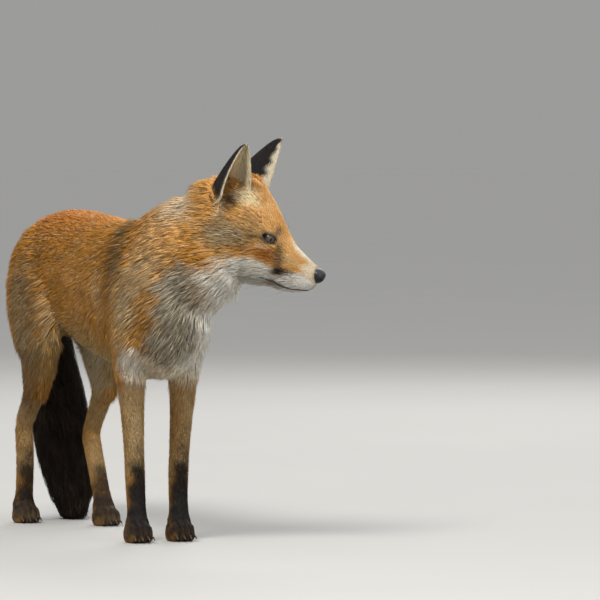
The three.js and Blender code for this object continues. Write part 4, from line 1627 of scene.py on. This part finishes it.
@dataclass
class Ear:
    """One ear: a curled shell open to its own x axis. Lengths are millimetres."""

    head: Place
    name: str
    at: Vec3
    opening: float
    outward: float
    forward: float
    height: float = 89.0
    side: int = -1
    half_width: float = 26.0
    depth: float = 39.0
    wall: float = 4.2
    foot: float = -0.16
    rows: int = 50
    columns: int = 34

    def half_axes(self, low: Array) -> tuple[Array, Array]:
        """Half the shell's width, and its depth, at a share of its height.

        Both follow a taper of sqrt(1 - low^1.9) (1 - 0.28 low), and the width swells below the middle.
        """
        taper = np.sqrt(1 - low**1.9) * (1 - 0.28 * low)
        width = self.half_width * (0.78 + 0.75 * low * (1 - low)) * taper + 1.6
        return width, self.depth * taper * (1 - 0.2 * low) + 1.6

    def point(self, h: Array, angle: Array, inset: Array) -> Array:
        """A place on the shell, by height share, angle round its back, and how far in from the coat."""
        low = np.clip(h, 0, 0.9995)
        width, depth = self.half_axes(low)
        x = -5 * low**2 - (depth - inset) * np.cos(angle)
        return np.stack([x, (width - inset) * np.sin(angle), self.height * h], -1)

    def build(self) -> Surface:
        """The shell's two faces as one closed loop of columns for each row, with what grows on them.

        The last row is one point, and a strip of quads closes the foot. flow runs up the shell, and
        inwards along its edges.

        Returns:
            The shell, with its normals, flow, tuft sizes and colours.
        """
        axes = turn(0, self.outward) @ turn(1, self.forward) @ turn(2, self.opening)
        place = self.head.within(np.array(self.at) * MM, axes)
        h = np.linspace(self.foot, 1.0, self.rows)[:, None]
        low = np.clip(h, 0, 0.9995)
        wall = np.minimum(self.wall, self.half_axes(low)[1] * 0.8) * (1 - 0.3 * low)
        spread = np.radians((106 - 22 * low) * (0.5 + 0.5 * smoothstep(self.foot, 0.3, h)))
        t = np.linspace(-1, 1, self.columns)[None, :]
        outer = self.point(h + 0 * t, t * spread, 0.22 * wall + 0 * t)
        inner = self.point(h + 0 * t, -t * (spread - 0.04), 0.74 * wall + 0 * t)
        grid = np.concatenate([outer, inner], 1)
        across = np.concatenate([t, -t], 1) + 0 * h
        is_inner = np.concatenate([0 * t, 0 * t + 1], 1) + 0 * h
        high = h + 0 * across
        up = unit(np.gradient(grid, axis=0)).reshape(-1, 3)
        grid[-1] = grid[-1].mean(0)
        near = np.arange(self.columns - 1)
        far = 2 * self.columns - 1 - near
        strip = np.stack([near, far, far - 1, near + 1], 1)
        quads = np.concatenate([grid_faces(self.rows, 2 * self.columns), strip])
        triangles = np.concatenate([quads[:, [0, 2, 1]], quads[:, [0, 3, 2]]])
        surface = Surface(place.out(grid.reshape(-1, 3) * MM), triangles)
        surface.find_normals()
        across, inside, high = across.ravel()[:, None], is_inner.ravel()[:, None], high.ravel()[:, None]
        edge = smoothstep(0.72, 0.95, np.abs(across))
        inward = place.axes @ np.array([0.0, 1.0, 0.0])
        flow = up @ place.axes.T - inside * np.sign(across) * 0.7 * edge * inward
        surface.flow = unit(flow - surface.normals * dot(flow, surface.normals))
        surface.curve = np.zeros((len(flow), 1))
        surface.sizes = self.hair(inside, edge, across, high)
        surface.tones = self.colours(inside, across, high)
        return surface

    def hair(self, inside: Array, edge: Array, across: Array, high: Array) -> Array:
        """Depth, length, half width and cover over the shell, as in the coat's measure.

        Args:
            inside: 1 on the inner face, 0 on the outer.
            edge: 1 at the edges, 0 between them.
            across: -1 to 1 from edge to edge.
            high: share of the height.

        Returns:
            N x 4 sizes in metres, and cover.
        """
        base = 1 - smoothstep(0.05, 0.3, high)
        tip = smoothstep(0.6, 1.0, high)
        back = np.hstack([1.1 + 1.5 * base, 5.0 + 4 * base, 0.26 + 0.1 * base, 1.25 - 0.3 * base])
        long = smoothstep(0.1, 0.8, -self.side * across) * (1 - 0.75 * tip)
        rear = smoothstep(0.8, 1.0, self.side * across)
        front = np.hstack([0.9 + 2.4 * long, 4.5 + 9 * long + 2 * rear,
                           0.24 + 0.05 * long, 0.85 + 0.4 * edge])
        sizes = mixed(back, front, inside)
        sizes[:, :3] *= MM
        sizes[:, 3] *= (high > -0.02)[:, 0]
        return sizes

    def colours(self, inside: Array, across: Array, high: Array) -> Array:
        """Black backs over a warm base, pale rims, and a hollow darkened as painted shade, with pale hair
        along its edges.

        Args:
            inside: 1 on the inner face, 0 on the outer.
            across: -1 to 1 from edge to edge.
            high: share of the height.

        Returns:
            N x 3 colours.
        """
        medial = -self.side * across
        start = np.tile(np.array(Fur.ORANGE.value), (len(high), 1))
        back = mixed(start, Fur.BLACK.value, smoothstep(0.14, 0.36, high + 0.1 * np.abs(across)))
        fringe = smoothstep(0.66, 0.86, medial + 0.07 * np.sin(high * 37 + across * 9))
        rim = np.maximum(smoothstep(0.93, 0.99, np.abs(across)), fringe)
        back = mixed(back, Fur.CREAM.value, rim * (1 - smoothstep(0.9, 1.0, high)))
        front = mixed(start, Fur.HONEY.value, smoothstep(-0.9, 0.2, medial + 0.8 * (high - 0.2)))
        front = mixed(front, Fur.BUFF.value, smoothstep(0.1, 0.6, medial + 0.4 * (high - 0.4)))
        # Painted shade in the deep hollow of the ear.
        hollow = smoothstep(1.05, 0.4, np.hypot((medial + 0.1) / 0.42, (high - 0.26) / 0.46))
        front = mixed(front, Fur.DARK.value, hollow)
        front = mixed(front, Fur.CREAM.value, smoothstep(0.8, 0.95, -medial))
        return mixed(back, front, inside)


# ---- Claws ----------------------------------------------------------------------------------------


@dataclass(frozen=True)
class Paw:
    """Where a paw stands, in the body frame in millimetres, and its size. v is a place across it."""

    x: float
    y: float
    length: float
    width: float
    height: float

    def claws(self) -> tuple[Array, Array]:
        """Four claws, each an arc curling down: x = 9.6 t, y = 1.5 v t and z = 0.8 t - 5.6 t * t.

        Returns:
            Their middle lines and their radii, which fall to the tip.
        """
        v = np.array([-0.75, -0.25, 0.25, 0.75])
        front = self.length * (0.52 - 0.17 * v * v)
        start = np.stack([self.x + front - 4.5, self.y + v * self.width / 2, 0 * v + 0.3 * self.height], 1)
        t = np.linspace(0, 1, 12)
        path = np.stack(np.broadcast_arrays(9.6 * t, 1.5 * v[:, None] * t, 0.8 * t - 5.6 * t * t), -1)
        return start[:, None] + path, np.tile(1.45 * np.sqrt(1 - t**1.8) + 0.12, (len(v), 1))

    def toes(self, points: Array) -> Array:
        """How deep the clefts between the toes are, in metres, at places in the body frame."""
        local = (points / MM - [self.x, self.y, 0]) / [self.length / 2, self.width / 2, self.height]
        cleft = sum(np.exp(-(((local[:, 1] - v) / 0.1) ** 2)) for v in (-0.5, 0.0, 0.5))
        inside = smoothstep(0.1, 0.6, local[:, 0]) * (1 - smoothstep(0.85, 1.15, local[:, 2]))
        near = (np.abs(local[:, 1]) < 1.15) & (np.abs(local[:, 0]) < 1.6)
        return 2.2 * MM * cleft * inside * near

    def pastern(self, points: Array) -> Array:
        """How far the leg just above the paw is filled out, in metres, at places in the body frame."""
        local = points / MM - [self.x, self.y, self.height - 4]
        near = 1 - smoothstep(28, 34, np.hypot(local[:, 0], local[:, 1]))
        return 2.6 * MM * np.exp(-((local[:, 2] / 7) ** 2)) * near


PAWS = (
    Paw(126, -28, 45, 31, 27), Paw(126, 28, 45, 31, 27),
    Paw(-212, -41, 46, 31, 25), Paw(-126, 35, 46, 31, 25),
)
HORN = (0.05, 0.04, 0.033)


# ---- Finishes -------------------------------------------------------------------------------------


class Finish:
    """A material made of nodes, round one Principled shader."""

    def __init__(self, name: str, roughness: float, specular: float = 0.5, coat: float = 0.0,
                 coat_roughness: float = 0.05) -> None:
        """Starts the material with its plain values.

        Args:
            name: the material's name.
            roughness: the base's roughness.
            specular: the base's specular level.
            coat: how much clear gloss lies over it.
            coat_roughness: the gloss's roughness.
        """
        self.material = bpy.data.materials.new(name)
        self.material.use_nodes = True
        self.nodes = self.material.node_tree.nodes
        self.links = self.material.node_tree.links
        self.shader = self.nodes["Principled BSDF"]
        for socket, value in (("Roughness", roughness), ("Specular IOR Level", specular),
                              ("Coat Weight", coat), ("Coat Roughness", coat_roughness)):
            self.shader.inputs[socket].default_value = value

    def node(self, kind: str, **values: object) -> bpy.types.Node:
        """Adds a node and sets its properties and inputs by name, an underscore standing for a space.

        Args:
            kind: the node's type.
            values: what to set.

        Returns:
            The node.
        """
        made = self.nodes.new(kind)
        for name, value in values.items():
            if hasattr(made, name):
                setattr(made, name, value)
            else:
                made.inputs[name.replace("_", " ")].default_value = value
        return made

    def mix(self, first: object, second: object, factor: object, blend: str = "MIX") -> bpy.types.NodeSocket:
        """Mixes two colours, each a socket or a value.

        Args:
            first: the colour at 0.
            second: the colour at 1.
            factor: the share of the second.
            blend: how they mix.

        Returns:
            The mixed colour.
        """
        made = self.nodes.new("ShaderNodeMix")
        made.data_type = "RGBA"
        made.blend_type = blend
        for socket, value in ((made.inputs[0], factor), (made.inputs[6], first), (made.inputs[7], second)):
            if isinstance(value, bpy.types.NodeSocket):
                self.links.new(value, socket)
            else:
                socket.default_value = value
        return made.outputs[2]

    def tone(self) -> bpy.types.NodeSocket:
        """The piece's own colour, from its attribute."""
        return self.node("ShaderNodeAttribute", attribute_name=COLOUR_LAYER).outputs["Color"]

    def place(self, made: bpy.types.Node) -> bpy.types.Node:
        """Puts a node on object coordinates."""
        self.links.new(self.node("ShaderNodeTexCoord").outputs["Object"], made.inputs["Vector"])
        return made

    def noise(self, scale: float, detail: float = 3.0, stretch: Vec3 = (1, 1, 1)) -> bpy.types.NodeSocket:
        """Noise on object coordinates, stretched by an uneven scale."""
        mapping = self.place(self.node("ShaderNodeMapping", Scale=stretch))
        made = self.node("ShaderNodeTexNoise", Scale=scale, Detail=detail)
        self.links.new(mapping.outputs["Vector"], made.inputs["Vector"])
        return made.outputs["Fac"]

    def colour(self, socket: bpy.types.NodeSocket) -> None:
        """Feeds the base colour."""
        self.links.new(socket, self.shader.inputs["Base Color"])

    def bump(self, height: bpy.types.NodeSocket, distance: float, strength: float = 1.0) -> None:
        """Feeds the normal through a bump of the given height in metres."""
        made = self.node("ShaderNodeBump", Distance=distance, Strength=strength)
        self.links.new(height, made.inputs["Height"])
        self.links.new(made.outputs["Normal"], self.shader.inputs["Normal"])


def coat_finish(name: str) -> bpy.types.Material:
    """Hair: its own colours, with fine streaks of light and dark."""
    finish = Finish(name, 0.6, specular=0.12)
    ramp = finish.node("ShaderNodeMapRange", To_Min=0.82, To_Max=1.12)
    finish.links.new(finish.noise(900.0, 2.0), ramp.inputs["Value"])
    finish.colour(finish.mix(finish.tone(), ramp.outputs["Result"], 1.0, "MULTIPLY"))
    return finish.material


def skin_finish() -> bpy.types.Material:
    """Skin and the short down on it: darker than the tufts, as painted shade between them, with a bump of
    small hairs.
    """
    finish = Finish("skin_down", 0.75, specular=0.2)
    finish.colour(finish.mix(finish.tone(), finish.noise(700.0, 3.0), 0.5, "MULTIPLY"))
    finish.bump(finish.noise(1400.0, 4.0), 0.6 * MM)
    return finish.material


def eye_finish() -> bpy.types.Material:
    """A wet eyeball: its own colours under a clear gloss."""
    finish = Finish("wet_eye", 0.3, specular=0.06, coat=0.34, coat_roughness=0.03)
    finish.colour(finish.tone())
    return finish.material


def lid_finish() -> bpy.types.Material:
    """Bare dark lids and lips, a little damp."""
    finish = Finish("bare_dark_skin", 0.42, specular=0.4)
    finish.colour(finish.mix(finish.tone(), finish.noise(1100.0), 0.35, "MULTIPLY"))
    finish.bump(finish.noise(2400.0), 0.12 * MM)
    return finish.material


def nose_finish() -> bpy.types.Material:
    """The nose's pebbled leather, damp and glossy."""
    finish = Finish("nose_leather", 0.5, specular=0.2, coat=0.22, coat_roughness=0.22)
    finish.colour(finish.tone())
    cells = finish.place(finish.node("ShaderNodeTexVoronoi", Scale=1500.0))
    finish.bump(cells.outputs["Distance"], 0.25 * MM, 0.8)
    return finish.material


def horn_finish() -> bpy.types.Material:
    """Dark horn of the claws, streaked along."""
    finish = Finish("claw_horn", 0.34, specular=0.45)
    finish.colour(finish.mix(finish.tone(), finish.noise(500.0, 3.0, (0.2, 1, 1)), 0.6, "MULTIPLY"))
    finish.bump(finish.noise(700.0, 2.0, (0.15, 1, 1)), 0.1 * MM)
    return finish.material


def whisker_finish() -> bpy.types.Material:
    """Stiff black hair with a soft shine."""
    finish = Finish("whisker", 0.3, specular=0.4)
    finish.colour(finish.tone())
    return finish.material


# ---- Studio ---------------------------------------------------------------------------------------


@dataclass(frozen=True)
class Studio:
    """A pale floor, soft lights and the camera. Lengths are metres, angles degrees and powers watts."""

    heading: float = 65.0
    distance: float = 6.0
    aside: float = 0.172
    height: float = 0.52
    tilt: float = 2.12
    lens: float = 293.4
    focus: Vec3 = (0.13, 0.0, 0.0)
    aim: Vec3 = (0.05, 0.0, 0.28)
    floor: float = 40.0
    floor_tones: tuple[Vec3, Vec3] = ((0.36, 0.357, 0.347), (0.38, 0.377, 0.366))
    low_sky: Vec3 = (0.33, 0.33, 0.326)
    high_sky: Vec3 = (0.92, 0.92, 0.92)

    @staticmethod
    def stand(name: str, data: bpy.types.ID, at: Array, *axes: Array) -> bpy.types.Object:
        """Adds a camera or light at a place, with its own x, y and z axes along those given.

        Args:
            name: the object's name.
            data: the camera or light.
            at: its place.
            axes: its three directions.

        Returns:
            The object.
        """
        made = bpy.data.objects.new(name, data)
        bpy.context.scene.collection.objects.link(made)
        rows = np.eye(4)
        rows[:3] = np.stack([*axes, at], 1)
        made.matrix_world = Matrix(rows.tolist())
        return made

    def camera(self, body: Place) -> None:
        """Looks along the ground from the fox's right and a little ahead, tilted down slightly."""
        a = math.radians(self.heading)
        right = np.array([math.cos(a), math.sin(a), 0.0])
        back = np.array([math.sin(a), -math.cos(a), 0.0])
        at = body.out(self.focus) + right * self.aside + back * self.distance
        at[2] = self.height
        data = bpy.data.cameras.new("camera")
        data.lens = self.lens
        data.sensor_width = 36.0
        data.clip_end = 120.0
        t = math.radians(self.tilt)
        up = np.array([0, 0, 1]) * math.cos(t) - back * math.sin(t)
        bpy.context.scene.camera = self.stand("camera", data, at, right, up, np.cross(right, up))

    def light(self, name: str, at: Vec3, size: float, power: float, colour: Vec3) -> None:
        """Adds a square soft light that faces the fox.

        Args:
            name: the light's name.
            at: its place.
            size: its side.
            power: its power.
            colour: its colour.
        """
        data = bpy.data.lights.new(name, "AREA")
        data.size = size
        data.energy = power
        data.color = colour
        away = unit(np.array(at) - np.array(self.aim))
        side = unit(np.cross([0.0, 0.0, 1.0], away))
        self.stand(name, data, np.array(at), side, np.cross(away, side), away)

    def sky(self) -> None:
        """Lights the scene from all round, brighter from above."""
        world = bpy.data.worlds.new("studio")
        world.use_nodes = True
        nodes, links = world.node_tree.nodes, world.node_tree.links
        split, fade, sky = (nodes.new("ShaderNode" + kind) for kind in ("SeparateXYZ", "MapRange", "Mix"))
        sky.data_type = "RGBA"
        sky.inputs[6].default_value = (*self.low_sky, 1)
        sky.inputs[7].default_value = (*self.high_sky, 1)
        fade.interpolation_type = "SMOOTHSTEP"
        fade.inputs["From Max"].default_value = 0.7
        links.new(nodes.new("ShaderNodeTexCoord").outputs["Generated"], split.inputs[0])
        links.new(split.outputs["Z"], fade.inputs["Value"])
        links.new(fade.outputs["Result"], sky.inputs[0])
        links.new(sky.outputs[2], nodes["Background"].inputs["Color"])
        bpy.context.scene.world = world

    def build(self, body: Place) -> None:
        """Makes the floor, the lights and the camera."""
        self.camera(body)
        corners = np.array([[-1, -1, 0], [1, -1, 0], [1, 1, 0], [-1, 1, 0]]) * self.floor
        floor = write_mesh("floor", corners, np.array([[0, 1, 2, 3]]))
        finish = Finish("pale_floor", 0.85, specular=0.2)
        first, second = ((*tone, 1) for tone in self.floor_tones)
        finish.colour(finish.mix(first, second, finish.noise(3.0)))
        floor.data.materials.append(finish.material)
        self.light("key", (1.7, -1.9, 3.5), 1.5, 178.0, (1.0, 0.97, 0.92))
        self.light("fill", (3.2, 0.6, 1.3), 2.4, 42.0, (0.93, 0.96, 1.0))
        self.light("back", (-2.4, 2.0, 2.4), 1.8, 70.0, (1.0, 0.98, 0.95))
        self.sky()
        bpy.context.scene.view_settings.view_transform = "Standard"


# ---- Assembly -------------------------------------------------------------------------------------


def main() -> None:
    """Builds the fox."""
    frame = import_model()
    body, head = HeadPose().places()
    Studio().build(body)
    coat = Coat(body, head)
    markings = Markings(body, head)
    eyes = (Eye(head, -1), Eye(head, 1))
    skin = SkinMaker(body, head, coat, eyes).build(frame["nodes"])
    ears = [
        Ear(head, "ear_right", (7, -34, 18), -39, 9, 4, side=-1).build(),
        Ear(head, "ear_left", (13, 32, 26), 39, -10, 14, side=1).build(),
    ]
    hide = [skin, *ears]
    starts = np.cumsum([0] + [len(part.points) for part in hide[:-1]])
    # The skin's colours are darkened here as painted shade between the tufts.
    tones = [markings.tone(skin.points) * SKIN_GAP_SHADE, *(ear.tones * EAR_GAP_SHADE for ear in ears)]
    skin_obj = write_mesh("skin", np.concatenate([part.points for part in hide]),
                          np.concatenate([part.triangles + start for part, start in zip(hide, starts)]),
                          None, np.concatenate(tones))
    finish_piece(weld(skin_obj), skin_finish())
    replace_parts(skin_obj, *FLESH_NODES, *EAR_NODES)

    bare, wet = lid_finish(), eye_finish()
    for eye, node in zip(eyes, EYE_NODES):
        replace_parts(finish_piece(eye.ball(), wet), node)
        finish_piece(eye.lids(skin, markings.tone), bare)
    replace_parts(finish_piece(NosePad().build(head), nose_finish()), "nose")
    mouth = Mouth()
    finish_piece(mouth.lips(head, skin), bare)
    finish_piece(mouth.whiskers(head, skin), whisker_finish())
    paths, radii = (np.concatenate(rows) for rows in zip(*(paw.claws() for paw in PAWS)))
    claws = sweep("claws", body.out(paths * MM), radii * MM, 12, (0, 1, 0), HORN, 0.75)
    finish_piece(claws, horn_finish())

    fur = {slot: coat_finish(slot + "_hair") for slot in ("coat", "leg_coat", "dark_coat")}

    def dress(obj: bpy.types.Object, slot: str) -> None:
        """Finishes a piece of the coat."""
        finish_piece(obj, fur[slot])

    share = 1.0
    maker = CoatMaker(body, head, coat, markings, eyes)
    maker.build(skin, dress, share)
    for name, ear in zip(("coat_ear_right", "coat_ear_left"), ears):
        maker.build_ear(name, ear, dress, share)


if __name__ == "__main__":
    main()
